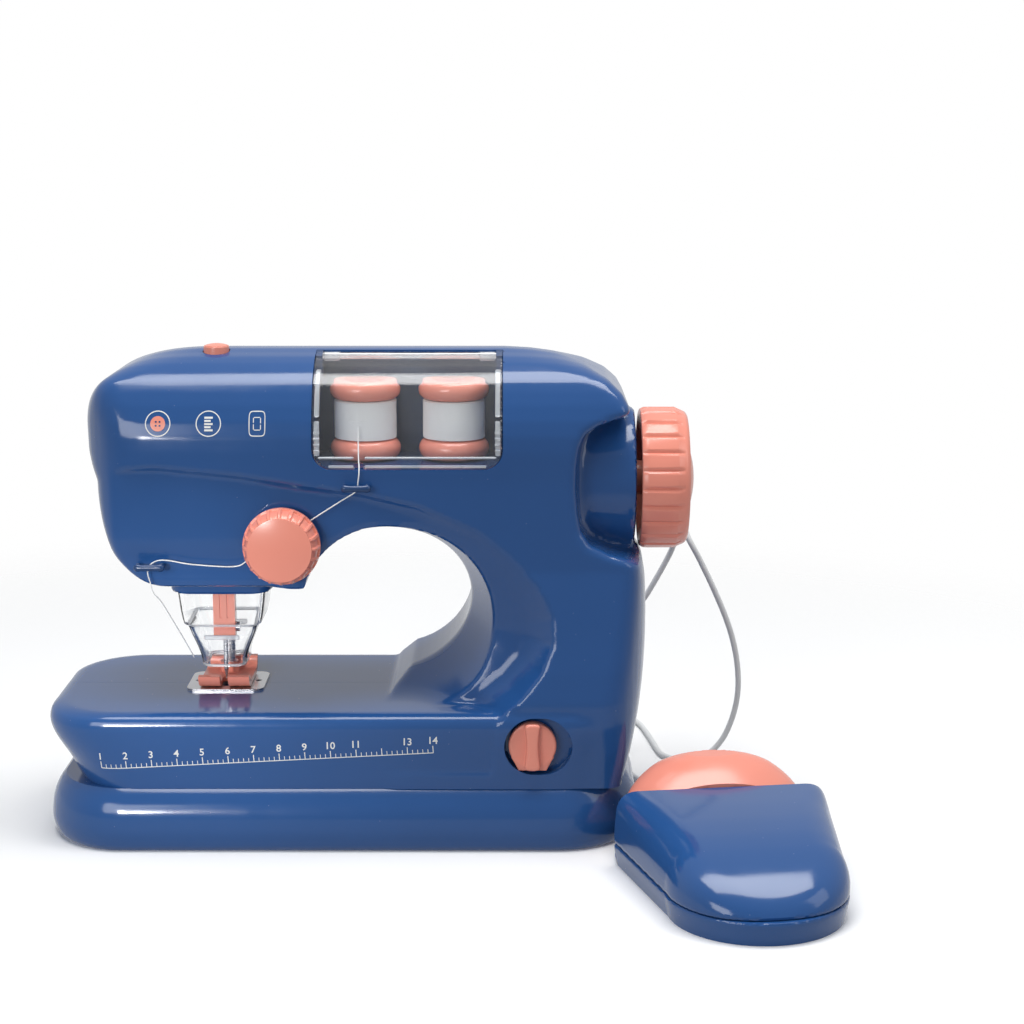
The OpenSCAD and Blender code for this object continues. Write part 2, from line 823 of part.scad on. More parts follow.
function gear_line(n) = let (
    rp = n / 2, rb = rp * cos(20), ra = rp + 0.85, rf = rp - 1.25,
    h = 90 / n - 0.11 / rp * 180 / PI,
    steps = [for (j = [0:4]) max(rb, rf) + (ra - max(rb, rf)) * j / 4])
  [for (i = [0:n - 1]) each concat(
    [[rf, 360 * i / n - h - involute(rb, rp)]],
    [for (j = [0:4]) [steps[j], 360 * i / n - h - involute(rb, rp) + involute(rb, steps[j])]],
    [for (j = [4:-1:0]) [steps[j], 360 * i / n + h + involute(rb, rp) - involute(rb, steps[j])]],
    [[rf, 360 * i / n + h + involute(rb, rp)]])];
module gear(n, turn, x0, x1, z) {
  translate([x0, 0, z])
    rotate([90, 0, 90])
      rotate([0, 0, turn])
        linear_extrude(x1 - x0)
          polygon([for (q = gear_line(n)) q[0] * [cos(q[1]), sin(q[1])]]);
}
module drive_gear() {
  color(white)
    difference() {
      union() {
        gear(gear_teeth, -90, gear_x, gear_x + 5, shaft_z);
        rod_x(0, shaft_z, 6, gear_x - 1.5, gear_x + 5.6);
      }
      rod_x(0, shaft_z, shaft_r, gear_x - 5, gear_x + 10);
    }
}
module motor_pinion() {
  color(brass)
    difference() {
      gear(pinion_teeth, 90 + 180 / pinion_teeth, gear_x + 0.3, gear_x + 4.7, pinion_z);
      rod_x(0, pinion_z, 1 + fit, gear_x - 5, gear_x + 10);
    }
}
module motor() {
  color(steel) {
    intersection() {
      rod_x(0, pinion_z, 10, 58, gear_x - 2.2);
      translate([50, -12, pinion_z - 7.5])
        cube([40, 24, 15]);
    }
    rod_x(0, pinion_z, 3, gear_x - 2.3, gear_x - 0.8);
    rod_x(0, pinion_z, 1, gear_x - 1, gear_x + 5.4);
  }
}

// knobs and switches
module tension_post() {
  color(steel) {
    rod_y(tension_p[0], tension_p[1], 3, -46, -31);
    rod_y(tension_p[0], tension_p[1], 5, -33.2, -31);
    rod_y(tension_p[0], tension_p[1], 7.5, -37.6, -35.8);
  }
}
module tension_knob() {
  color(salmon)
    difference() {
      union() {
        translate([tension_p[0], -39.4, tension_p[1]])
          rotate([90, 0, 0])
            rotate_extrude()
              polygon(concat(
                [[0, 0], [tension_r - 1, 0]],
                arc([tension_r - 2.5, 9.5], [2, 2], 0, 80, 5),
                [[tension_r - 4, 11.2], [0, 12]]));
        for (i = [0:23])
          translate([tension_p[0], 0, tension_p[1]])
            rotate([0, 15 * i, 0])
              translate([tension_r - 1.6, -48.6, -0.9])
                cube([1.6, 8.6, 1.8]);
      }
      rod_y(tension_p[0], tension_p[1], 3 + fit, -46.4, -30);
    }
}
module power_knob() {
  color(salmon) {
    rod_y(power_p[0], power_p[1], power_r, recess_y - 4.6, recess_y - 0.4);
    along_y([[power_p[0] - 6.6, power_p[1] - 6.6], [power_p[0] - 4.4, power_p[1] - 10.4],
      [power_p[0] + 4.4, power_p[1] - 10.4], [power_p[0] + 6.6, power_p[1] - 6.6]],
      recess_y - 4.6, recess_y - 0.4);
    along_y(round_box(power_p[0] - 2.6, power_p[0] + 2.6, power_p[1] - 8, power_p[1] + 8, 2, 4),
      recess_y - 7.4, recess_y - 4.5);
    translate([power_p[0] - 1.5, recess_y - 1, power_p[1] - 1.5])
      cube([3, wall + 1.6, 3]);
  }
}
module power_switch() {
  color(black)
    difference() {
      translate([power_c[0] - 10, recess_y + wall, power_p[1] - 6])
        cube([20, 8, 12]);
      translate([power_p[0] - 2.8, recess_y, power_p[1] - 2.8])
        cube([5.6 + power_travel, wall + 4, 5.6]);
    }
}
module light_button() {
  color(salmon)
    translate([button_p[0], button_p[1], 0]) {
      translate([0, 0, arm_z - 6.4])
        cylinder(r = button_r, h = 7);
      translate([0, 0, arm_z + 0.5])
        rotate_extrude()
          polygon(concat([[0, 0]], arc([0, -2.4], [button_r, 4], 37, 90, 6)));
    }
}
module light_switch() {
  color(black)
    translate([button_p[0] - 3.5, button_p[1] - 3.5, arm_z - 19.5])
      cube([7, 7, 9.6]);
  color(white)
    translate([button_p[0], button_p[1], arm_z - 9.9])
      cylinder(r = 1.7, h = 1.2);
}
module lamp_lens() {
  color(clear)
    at_lamp() {
      translate([0, 0, -1.4])
        linear_extrude(2)
          polygon(lamp_line(0.3));
      translate([0, 0, 0.5])
        linear_extrude(1.2)
          polygon(lamp_line(3));
    }
}
module lamp_reflector() {
  color(steel)
    at_lamp()
      difference() {
        hull() {
          slab(lamp_line(0.6), -2.2, 0.6);
          translate([0, 0, -13])
            cylinder(r = 5, h = 0.4, $fn = 32);
        }
        hull() {
          slab(lamp_line(1.8), -2.2, 2);
          translate([0, 0, -12])
            cylinder(r = 4, h = 0.4, $fn = 32);
        }
        translate([0, 0, -16])
          cylinder(r = 2.7, h = 6);
      }
}
module lamp_diode() {
  color(white)
    at_lamp() {
      translate([0, 0, -16])
        cylinder(r = 2.5, h = 9);
      translate([0, 0, -7])
        sphere(r = 2.5);
      translate([0, 0, -14.4])
        difference() {
          cylinder(r = 4, h = 1.2);
          translate([0, 0, -1])
            cylinder(r = 2.5, h = 4);
        }
    }
}

// pedal, in its own frame: x across, y from the heel at 0 to the nose
module at_pedal() {
  translate(pedal_at)
    rotate([0, 0, pedal_turn])
      children();
}
function pedal_line(d, nose = -pedal_l) =
  let (c = nose + 34,
       w = pedal_w / 2 - 8.5 * (-38 - c) / (pedal_l - 72))
  concat(
    arc([0, -38], [pedal_w / 2 - d, 38 - d], 0, 180, 14),
    arc([0, c], [w - d, 34 - d], 180, 360, 14));
// blue front: steep sides, round upper edge, top that falls to the nose
module pedal_block(d) {
  hull() {
    slab(pedal_line(1.4 + d), 0);
    slab(pedal_line(d), 9);
    slab(pedal_line(0.2 + d, 3.5 - pedal_l), 13.5 - d / 3);
    slab(pedal_line(0.8 + d, 12 - pedal_l), 20 - d / 2);
    slab(pedal_line(2.2 + d, 23 - pedal_l), 24.6 - d * 0.7);
    slab(pedal_line(4.2 + d, 35 - pedal_l), 27.6 - d * 0.9);
    slab(pedal_line(6.6 + d, 48 - pedal_l), 29.2 - d);
    slab(round_box(-35 + d, 35 - d, -56, -26, 5, 4), 29.8 - d);
  }
}
// domed heel
module heel_block(d) {
  hull() {
    slab(pedal_line(1.4 + d), 0);
    slab(pedal_line(0.6 + d), 12);
    slab(arc([0, -26], [39.6 - d, 23.4 - d], 0, 350, 35), 21 - d / 3);
    slab(arc([0, -23], [35 - d, 18 - d], 0, 350, 35), 28.4 - d / 2);
    slab(arc([0, -20.6], [27.6 - d, 12.4 - d], 0, 350, 35), 34 - d * 0.8);
    slab(arc([0, -19.6], [19 - d, 7.4 - d], 0, 350, 35), 37 - d);
    slab(arc([0, -19.4], [10 - d, 4 - d], 0, 350, 35), 38.2 - d);
  }
}
pedal_seam = 9;
hinge_y = -pedal_edge + 4;
hinge_z = 11;
module pedal_base() {
  color(blue)
    at_pedal()
      difference() {
        union() {
          intersection() {
            difference() {
              pedal_block(0);
              translate([0, 0, 2.4])
                slab(pedal_line(3.4), 0, 40);
            }
            translate([-60, -140, 0])
              cube([120, 140 - pedal_edge + 0.2, pedal_seam]);
          }
          slab(pedal_line(1.4), 0, 2.4);
          difference() {
            slab(pedal_line(5.6), 2, 6);
            slab(pedal_line(7.6), 1, 10);
            translate([-60, -140, 2])
              cube([120, 140 - pedal_edge - 2, 20]);
          }
          translate([-5.4, -8, 1])
            cube([10.8, 7, 7.6]);
          for (x = [-33, 30])
            translate([x, hinge_y - 4, 2])
              cube([3, 8, hinge_z + 1.6]);
          for (q = pedal_screw_at)
            translate([q[0], q[1], 2])
              cylinder(r = 3.6, h = 8);
        }
        rod_x(hinge_y, hinge_z, 1.5, -31.6, 31.6);
        translate([0, 1, 5])
          rotate([90, 0, 0])
            cylinder(r = 3, h = 12);
        for (q = pedal_screw_at)
          translate([q[0], q[1], -1]) {
            cylinder(r = 1.8, h = 20);
            cylinder(r = 3.2, h = 4);
          }
      }
}
pedal_screw_at = [[-24, -72], [24, -72], [0, -104]];
module pedal_screws() {
  color(steel)
    at_pedal()
      for (q = pedal_screw_at)
        translate([q[0], q[1], 0]) {
          translate([0, 0, 2.9])
            cylinder(r = 1.5, h = 15);
          translate([0, 0, 1.2])
            cylinder(r = 2.8, h = 1.75);
        }
}
module pedal_housing() {
  color(blue)
    at_pedal()
      difference() {
        union() {
          intersection() {
            difference() {
              pedal_block(0);
              pedal_block(2.2);
            }
            translate([-60, -140, pedal_seam])
              cube([120, 140 - pedal_edge, 80]);
          }
          for (q = pedal_screw_at)
            translate([q[0], q[1], 10])
              cylinder(r = 3.4, h = q[0] == 0 ? 12 : 17);
        }
        for (q = pedal_screw_at)
          translate([q[0], q[1], 8])
            cylinder(r = 1.5 + fit, h = 11);
      }
}
module pedal_treadle() {
  color(salmon)
    at_pedal()
      difference() {
        union() {
          intersection() {
            difference() {
              heel_block(0);
              heel_block(2.2);
            }
            translate([-60, -pedal_edge + 0.6, pedal_seam + 0.4])
              cube([120, 140, 80]);
          }
          intersection() {
            heel_block(0.6);
            union() {
              for (x = [-29.4, 26.4])
                difference() {
                  translate([x, hinge_y - 3.2, hinge_z - 3.4])
                    cube([3, 6.4, 26]);
                  rod_x(hinge_y, hinge_z, 1.5 + fit, -40, 40);
                }
              translate([0, -14, 22])
                cylinder(r = 3, h = 16);
              translate([-3, -28, 16.2])
                cube([6, 6, 24]);
            }
          }
        }
        translate([-8, -12, 5])
          cube([16, 20, 11]);
      }
}
module pedal_hinge_pin() {
  color(steel)
    at_pedal()
      rod_x(hinge_y, hinge_z, 1.5, -31.6, 31.6);
}
module pedal_switch() {
  color(black)
    at_pedal() {
      translate([-5, -30, 2.4])
        cube([10, 10, 11]);
      translate([0, -25, 13.3])
        cylinder(r = 2, h = 1.4);
    }
}
module pedal_spring() {
  color(steel)
    at_pedal()
      translate([0, -14, 2.4])
        difference() {
          cylinder(r = 4.6, h = 19.2);
          translate([0, 0, -1])
            cylinder(r = 3.7, h = 40);
        }
}

// cord from the column's back to the pedal, with its spare length in a tied coil
cord_exit = [100, bed_w / 2 + 7, 34];
floor_z = cord_d / 2 + 0.05;
coil_at = [74, 115];
coil_r = 17.8;
coil_z = cord_d / 2 + 0.75;
coil_step = cord_d + coil_gap;
run_way = [cord_exit, [100, 60, 34], [100.5, 65, 34.6], [102.5, 70.5, 37], [106.5, 75.5, 42.5], [112, 79, 50],
  [118, 81, 58], [124, 82, 66], [129.8, 82, 73.4], [134.5, 82, 81.5], [138.5, 81.8, 89], [141.7, 81, 96],
  [143.7, 78.6, 103.5], [144.8, 74.6, 108.6], [145.4, 70, 110], [146, 66, 108.6], [147.4, 63.4, 105],
  [149.8, 62.2, 100.6], [152.8, 62, 95], [158.4, 62, 83.5], [164.4, 62.4, 69.7], [168.3, 63, 58],
  [170.6, 63.6, 46.3], [171.2, 64.2, 34.5], [169.6, 64.8, 23.5], [165.8, 65.2, 13], [160.5, 65.2, 5.8],
  [154.5, 64.6, 2.2], [148.5, 64.4, floor_z],
  [143, 66, floor_z], [139, 70, floor_z], [136.8, 76, floor_z], [135, 90, floor_z], [133, 106, floor_z],
  [130.6, 120, floor_z], [127.4, 127.6, floor_z], [121, 131.8, floor_z], [112, 132.8, floor_z],
  [100, 132.8, floor_z + 0.2], [88, 132.8, coil_z - 0.15],
  [coil_at[0] + cord_d, coil_at[1] + coil_r, coil_z]];
function coil_radius(a) = coil_r - coil_step * (810 - abs(a - 810)) / 360;
function climb(a) = let (t = min(1, max(0, (a - 720) / 180))) t * t * (3 - 2 * t);
coil_way = concat(
  [[coil_at[0] + cord_d, coil_at[1] + coil_r, coil_z]],
  [for (i = [0:108]) let (a = 15 * i)
    [coil_at[0] + coil_radius(a) * cos(90 + a), coil_at[1] + coil_radius(a) * sin(90 + a),
     coil_z + coil_step * climb(a)]],
  [[coil_at[0] + cord_d, coil_at[1] - coil_r, coil_z + coil_step]]);
// least distance between loops, over points more than half a turn apart
coil_apart = min([for (i = [1:109]) for (j = [i + 12:109]) norm(coil_way[i] - coil_way[j])]);
echo(coil_gap = coil_apart - cord_d);
pedal_exit = pedal_at + [-8 * sin(pedal_turn), 8 * cos(pedal_turn), 5];
tail_way = [[coil_at[0] + cord_d, coil_at[1] - coil_r, coil_z + coil_step], [83, 97.2, 4.6], [90, 96.6, 3],
  [97, 94, 1.8], [104, 88.5, floor_z], [110, 80, floor_z], [115, 68, floor_z], [119, 54, floor_z],
  [123, 41, floor_z], [127.6, 31.5, floor_z], [133, 23.6, 1.5], [138, 15.8, 2.4], [141.4, 7.6, 3.7],
  pedal_exit + [-1.6, 13, -0.2], pedal_exit + [-0.9, 6.5, 0], pedal_exit];
module cord_glands() {
  color(white) {
    rod_y(cord_exit[0], cord_exit[2], 3, bed_w / 2 - 8, cord_exit[1]);
    rod_y(cord_exit[0], cord_exit[2], 4.6, bed_w / 2 - 1.4, bed_w / 2 + 0.6);
    at_pedal() {
      translate([0, 8, 5])
        rotate([90, 0, 0])
          cylinder(r = 2.95, h = 17);
    }
  }
}
module pedal_cord_run() {
  color(white)
    tube(run_way, cord_d / 2, 8);
}
module pedal_cord_coil() {
  color(white)
    tube(coil_way, cord_d / 2, 6);
}
module pedal_cord_tail() {
  color(white)
    tube(tail_way, cord_d / 2, 8);
}
module cord_tie() {
  color(black)
    difference() {
      translate([coil_at[0] + 9.6, coil_at[1] - 1.4, 0.05])
        cube([8.8, 2.8, coil_z + coil_step + cord_d / 2 + 0.9]);
      translate([coil_at[0] + 10.2, coil_at[1] - 3, 0.6])
        cube([7.6, 6, coil_z + coil_step + cord_d / 2 - 0.25]);
    }
}

// upper thread and its guides
thread_way = [[7.6, -23.5, 168], [7.8, -27, 161.5], [8.2, -32, 156.4], [8.6, -36, 154.6], [8.8, -38.6, 153.8],
  [8.8, -40, 151.6], [8.4, -40.4, 148.5], [7.6, -40.3, 145], [2, -40, 141.3], [-8, -39.2, 134.8],
  [-15, -38.5, 130], [-19, -38.4, 128], [-22.4, -38.4, 127.4], [-26, -38.4, 126],
  [-31, -38.4, 121.6], [-36.5, -38.4, 116.4],
  [-42, -38.2, 114.2], [-58, -37.8, 115], [-67.5, -37.4, 116.5], [-72, -37.4, 116.4], [-75, -37.4, 114.6],
  [-76, -37.4, 111.6], [-75.2, -36.9, 107.6], [-74, -36.5, 103], [-71.6, -32.4, 98.2], [-66.6, -22.6, 84],
  [-63, -15.6, 73.4], [-62.2, -13.6, 70.6]];
module upper_thread() {
  color(cream)
    tube(thread_way, 0.3, 6);
}
module guide(x0, x1, y0, y1, z) {
  color(dark_blue) {
    rod_x(y1, z, 1.1, x0, x1);
    for (x = [x0, x1 - 1.8])
      translate([x, y1, z - 1.1])
        cube([1.8, y0 - y1, 2.2]);
  }
}
module upper_thread_guide() {
  guide(2, 13.4, -38.1, -42.6, 146.4);
}
module lower_thread_guide() {
  guide(-81, -69, -35.7, -39.8, 114);
}

base_tray();
base_screws();
battery_box();
battery_cells();
battery_contacts();
battery_door();
door_screw();
front_casing();
rear_casing();
casing_screws();
needle_plate();
needle_guard();
spool_tray();
spool_pins();
cover_hinge_pin();
spool_cover();
left_spool();
left_thread();
right_spool();
right_thread();
upper_thread();
upper_thread_guide();
lower_thread_guide();
tension_post();
tension_knob();
handwheel();
main_shaft();
drive_gear();
crank_disc();
shaft_bushes();
motor();
motor_pinion();
needle_bar();
needle_yoke();
needle();
needle_clamp_screw();
presser_bar();
presser_foot();
presser_spring();
lamp_reflector();
lamp_diode();
lamp_lens();
light_switch();
light_button();
power_knob();
power_switch();
pedal_base();
pedal_housing();
pedal_treadle();
pedal_hinge_pin();
pedal_switch();
pedal_screws();
pedal_spring();
cord_glands();
pedal_cord_run();
pedal_cord_coil();
pedal_cord_tail();
cord_tie();
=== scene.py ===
"""Looks of a toy sewing machine with a foot pedal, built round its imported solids."""
import json
import math

import bmesh
import bpy
import numpy as np
from mathutils import Matrix, Vector


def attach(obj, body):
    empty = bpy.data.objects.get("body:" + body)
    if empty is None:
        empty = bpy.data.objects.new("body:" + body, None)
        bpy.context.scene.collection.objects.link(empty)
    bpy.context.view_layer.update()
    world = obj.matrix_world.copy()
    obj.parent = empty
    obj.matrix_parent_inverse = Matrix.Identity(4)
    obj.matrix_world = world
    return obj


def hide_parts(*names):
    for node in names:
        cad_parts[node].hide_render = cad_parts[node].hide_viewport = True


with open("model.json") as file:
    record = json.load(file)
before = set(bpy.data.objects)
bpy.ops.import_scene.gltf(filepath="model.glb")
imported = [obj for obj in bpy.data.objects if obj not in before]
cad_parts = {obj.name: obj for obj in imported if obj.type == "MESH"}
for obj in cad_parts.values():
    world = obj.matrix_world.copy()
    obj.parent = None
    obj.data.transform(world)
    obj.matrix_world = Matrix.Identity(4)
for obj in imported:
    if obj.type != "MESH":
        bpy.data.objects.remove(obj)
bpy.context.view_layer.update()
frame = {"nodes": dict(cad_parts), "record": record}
nodes = frame["nodes"]
scene = bpy.context.scene
scene.view_settings.view_transform = "Standard"
MM = 0.001


# Camera at the height and tilt of the photographed view
PICTURE_SIDE = 1024
FOCAL_PIXELS = 2100
SENSOR = 36
CAMERA_AT = (0.069, -0.853, 0.2947)
CAMERA_TILT = math.radians(79)

lens = bpy.data.cameras.new("camera")
lens.sensor_width = SENSOR
lens.lens = FOCAL_PIXELS / PICTURE_SIDE * SENSOR
camera = bpy.data.objects.new("camera", lens)
camera.location = CAMERA_AT
camera.rotation_euler = (CAMERA_TILT, 0, 0)
scene.collection.objects.link(camera)
scene.camera = camera


# Shader values as Python expressions
class Wire:
    """One shader value. Sums and products of wires add Math nodes."""

    def __init__(self, finish, socket):
        self.finish = finish
        self.socket = socket

    def math(self, operation, *values):
        settings = {"operation": operation}
        return self.finish.node("ShaderNodeMath", settings, dict(enumerate(values)))

    def __add__(self, other):
        return self.math("ADD", self, other)

    __radd__ = __add__

    def __sub__(self, other):
        return self.math("SUBTRACT", self, other)

    def __rsub__(self, other):
        return self.math("SUBTRACT", other, self)

    def __mul__(self, other):
        return self.math("MULTIPLY", self, other)

    __rmul__ = __mul__

    def __lt__(self, other):
        return self.math("LESS_THAN", self, other)

    def atleast(self, other):
        return self.math("MAXIMUM", self, other)


class Finish:
    """A material around one Principled shader."""

    def __init__(self, name):
        self.material = bpy.data.materials.new(name)
        self.material.use_nodes = True
        self.tree = self.material.node_tree
        self.tree.nodes.clear()
        self.output = self.tree.nodes.new("ShaderNodeOutputMaterial")
        self.skin = self.tree.nodes.new("ShaderNodeBsdfPrincipled")
        self.tree.links.new(self.skin.outputs[0], self.output.inputs[0])

    def plug(self, socket, value):
        if isinstance(value, Wire):
            self.tree.links.new(value.socket, socket)
        else:
            socket.default_value = value

    def node(self, kind, settings=None, sockets=None, out=0):
        made = self.tree.nodes.new(kind)
        for name, value in (settings or {}).items():
            setattr(made, name, value)
        for name, value in (sockets or {}).items():
            self.plug(made.inputs[name], value)
        return Wire(self, made.outputs[out])

    def set(self, **sockets):
        for name, value in sockets.items():
            self.plug(self.skin.inputs[name.replace("_", " ")], value)
        return self

    def place(self):
        return self.node("ShaderNodeTexCoord", out="Object")

    def rays(self, one, other):
        """1 where the ray is of either kind."""
        path = self.node("ShaderNodeLightPath").socket.node
        return Wire(self, path.outputs[one]).atleast(Wire(self, path.outputs[other]))

    def noise(self, place, scale, detail=3.0, roughness=0.5):
        return self.node("ShaderNodeTexNoise", sockets={
            "Vector": place, "Scale": scale, "Detail": detail, "Roughness": roughness})

    def specks(self, place, scale, size):
        """Small round spots at random places, 1 inside a spot."""
        cells = self.node("ShaderNodeTexVoronoi", sockets={"Vector": place, "Scale": scale})
        return cells < size

    def between(self, value, low, high):
        return self.node("ShaderNodeMapRange", {"clamp": True}, {0: value, 3: low, 4: high})

    def mix(self, share, a, b):
        mixed = self.node("ShaderNodeMix", {"data_type": "RGBA"}).socket.node
        self.plug(mixed.inputs["Factor"], share)
        for socket, value in zip([s for s in mixed.inputs if s.type == "RGBA"], (a, b)):
            self.plug(socket, value)
        return Wire(self, next(s for s in mixed.outputs if s.type == "RGBA"))

    def bump(self, height, strength, distance):
        return self.node("ShaderNodeBump", sockets={
            "Height": height, "Strength": strength, "Distance": distance})

    def blend(self, share, shader, other):
        """The surface becomes a mix of two shaders."""
        mixed = self.node("ShaderNodeMixShader", sockets={0: share, 1: shader, 2: other})
        self.tree.links.new(mixed.socket, self.output.inputs[0])


def shade(colour, k):
    """The colour made darker or lighter."""
    return tuple(min(1, c * k) for c in colour[:3]) + (1,)


PLASTIC_IOR = 1.5
CLEAR_IOR = 1.42
DUST = (0.5, 0.55, 0.6, 1)
RIPPLE = 0.0002


def moulded(name, colour, roughness=0.13, peel=0.05, specks=True, dull=0.12):
    """Moulded plastic: faint flow marks, a soft ripple and a little dust."""
    f = Finish(name)
    p = f.place()
    flow = f.noise(p, 26, 3)
    body = f.mix(f.between(flow, 0.25, 0.75), shade(colour, 0.9), shade(colour, 1.1))
    rough = roughness + f.noise(p, 90, 4) * dull - dull * 0.5
    height = f.noise(p, 420, 2) * 0.6 + f.noise(p, 1500, 1) * 0.2
    if specks:
        dust = f.specks(p, 170, 0.03)
        body = f.mix(dust * 0.16, body, DUST)
        rough = rough + dust * 0.2
    return f.set(Base_Color=body, Roughness=rough, Normal=f.bump(height, peel, RIPPLE),
                 IOR=PLASTIC_IOR)


def brushed(name, colour, roughness=0.28):
    """Metal with fine lines drawn along it."""
    f = Finish(name)
    p = f.place()
    stretched = f.node("ShaderNodeMapping", sockets={"Vector": p, "Scale": (40, 40, 900)})
    line = f.noise(stretched, 1.0, 3)
    body = f.mix(line, shade(colour, 0.8), shade(colour, 1.05))
    return f.set(Base_Color=body, Metallic=1.0, Roughness=roughness + line * 0.14 - 0.07,
                 Normal=f.bump(line, 0.08, 0.0001))


def see_through(name, tint, roughness=0.03):
    """Clear moulding that lets light through to what lies behind it."""
    f = Finish(name)
    p = f.place()
    haze = f.noise(p, 60, 4)
    f.set(Base_Color=tint, Roughness=roughness + haze * 0.06, IOR=CLEAR_IOR,
          Normal=f.bump(f.noise(p, 160, 2), 0.05, 2 * RIPPLE))
    f.skin.inputs["Transmission Weight"].default_value = 1.0
    clear = f.node("ShaderNodeBsdfTransparent", sockets={"Color": (0.98, 0.985, 0.99, 1)})
    passing = f.rays("Is Shadow Ray", "Is Diffuse Ray")
    f.blend(passing, Wire(f, f.skin.outputs[0]), clear)
    return f


BLUE = (0.021, 0.086, 0.268, 1)
SALMON = (0.87, 0.3, 0.22, 1)
finishes = {
    "blue_plastic": moulded("navy_gloss", BLUE),
    "dark_blue_plastic": moulded("navy_dark", shade(BLUE, 0.55), 0.2),
    "salmon_plastic": moulded("salmon_gloss", SALMON, 0.22, specks=False),
    "clear_plastic": see_through("clear_moulding", (0.99, 0.995, 1.0, 1)),
    "steel": brushed("plain_steel", (0.62, 0.62, 0.64, 1)),
    "brass": brushed("sintered_brass", (0.72, 0.55, 0.28, 1), 0.35),
    "white_plastic": moulded("white_acetal", (0.82, 0.82, 0.79, 1), 0.35, specks=False),
    "black_plastic": moulded("black_plastic", (0.02, 0.02, 0.022, 1), 0.4, specks=False),
    "reflector": brushed("bright_reflector", (0.86, 0.86, 0.88, 1), 0.08),
}


def spun(name, colour):
    """Spun yarn: fine fibres along and across it, with a soft sheen."""
    f = Finish(name)
    p = f.place()
    fibre = f.noise(p, 2600, 4, 0.7)
    body = f.mix(f.between(fibre, 0.3, 0.7), shade(colour, 0.86), shade(colour, 1.04))
    f.skin.inputs["Sheen Weight"].default_value = 0.4
    f.skin.inputs["Sheen Roughness"].default_value = 0.5
    return f.set(Base_Color=body, Roughness=0.78 + f.noise(p, 700, 2) * 0.15,
                 Normal=f.bump(fibre, 0.5, 0.0003))


def soft_skin(name, colour):
    """Soft white cord jacket with faint rings and handling marks."""
    f = Finish(name)
    p = f.place()
    mark = f.noise(p, 70, 4)
    body = f.mix(f.between(mark, 0.35, 0.8), shade(colour, 1.0), shade(colour, 0.86))
    return f.set(Base_Color=body, Roughness=0.36 + mark * 0.2,
                 Normal=f.bump(f.noise(p, 900, 2), 0.12, RIPPLE))


finishes["thread"] = spun("cream_thread", (0.97, 0.97, 0.95, 1))
finishes["cord_white"] = soft_skin("white_cord", (0.82, 0.83, 0.83, 1))


def dress(obj, slot):
    """The object gets the finish of a slot."""
    obj.data.materials.clear()
    obj.data.materials.append(finishes[slot].material)
    return obj


slot_of = {row["node"]: row["material_slot"] for row in frame["record"]["subparts"]}
for name, node in nodes.items():
    dress(node, slot_of[name])


# Cord from the column to the pedal, one unbroken line
def smooth_way(points, step=2.0):
    """Points of a smooth line through the given ones, in even small steps."""
    p = np.array(points, float)
    ends = np.vstack([2 * p[0] - p[1], p, 2 * p[-1] - p[-2]])
    line = [p[0]]
    for i in range(len(p) - 1):
        a, b, c, d = ends[i:i + 4]
        n = max(1, int(round(np.linalg.norm(c - b) / step)))
        for t in np.arange(1, n + 1) / n:
            line.append(0.5 * (2 * b + (c - a) * t + (2 * a - 5 * b + 4 * c - d) * t * t
                               + (3 * b - a - 3 * c + d) * t ** 3))
    return np.array(line)


def line_piece(name, points, diameter, slot, sides=3):
    """Round line of this diameter along the points, as a curve."""
    curve = bpy.data.curves.new(name, "CURVE")
    curve.dimensions = "3D"
    spline = curve.splines.new("POLY")
    spline.points.add(len(points) - 1)
    flat = np.c_[np.array(points) * MM, np.ones(len(points))]
    spline.points.foreach_set("co", flat.ravel())
    spline.use_smooth = True
    curve.bevel_depth = diameter / 2 * MM
    curve.bevel_resolution = sides
    curve.use_fill_caps = True
    obj = bpy.data.objects.new(name, curve)
    scene.collection.objects.link(obj)
    return dress(obj, slot)


CORD = 2.6
FLOOR_Z = CORD / 2 + 0.05
COIL_AT = (74.0, 115.0)
COIL_R = 17.8
COIL_Z = CORD / 2 + 0.75
COIL_STEP = CORD + 0.5
COIL_INNER = 810
COIL_PITCH = 15
cord_run = [
    (100, 57, 34), (100, 60, 34), (100.5, 65, 34.6), (102.5, 70.5, 37),
    (106.5, 75.5, 42.5), (112, 79, 50), (118, 81, 58), (124, 82, 66), (129.8, 82, 73.4),
    (134.5, 82, 81.5), (138.5, 81.8, 89), (141.7, 81, 96), (143.7, 78.6, 103.5),
    (144.8, 74.6, 108.6), (145.4, 70, 110), (146, 66, 108.6), (147.4, 63.4, 105),
    (149.8, 62.2, 100.6), (152.8, 62, 95), (158.4, 62, 83.5), (164.4, 62.4, 69.7),
    (168.3, 63, 58), (170.6, 63.6, 46.3), (171.2, 64.2, 34.5), (169.6, 64.8, 23.5),
    (165.8, 65.2, 13), (160.5, 65.2, 5.8), (154.5, 64.6, 2.2), (148.5, 64.4, FLOOR_Z),
    (143, 66, FLOOR_Z), (139, 70, FLOOR_Z), (136.8, 76, FLOOR_Z), (135, 90, FLOOR_Z),
    (133, 106, FLOOR_Z), (130.6, 120, FLOOR_Z), (127.4, 127.6, FLOOR_Z),
    (121, 131.8, FLOOR_Z), (112, 132.8, FLOOR_Z), (100, 132.8, FLOOR_Z + 0.2),
    (88, 132.8, COIL_Z - 0.15), (COIL_AT[0] + CORD, COIL_AT[1] + COIL_R, COIL_Z)]


def coil_point(a):
    """Point of the coil at a degrees: inwards below, one step up, outwards above."""
    r = COIL_R - COIL_STEP * (COIL_INNER - abs(a - COIL_INNER)) / 360
    t = min(1, max(0, (a - COIL_INNER + 90) / 180))
    turn = math.radians(90 + a)
    return (COIL_AT[0] + r * math.cos(turn), COIL_AT[1] + r * math.sin(turn),
            COIL_Z + COIL_STEP * t * t * (3 - 2 * t))


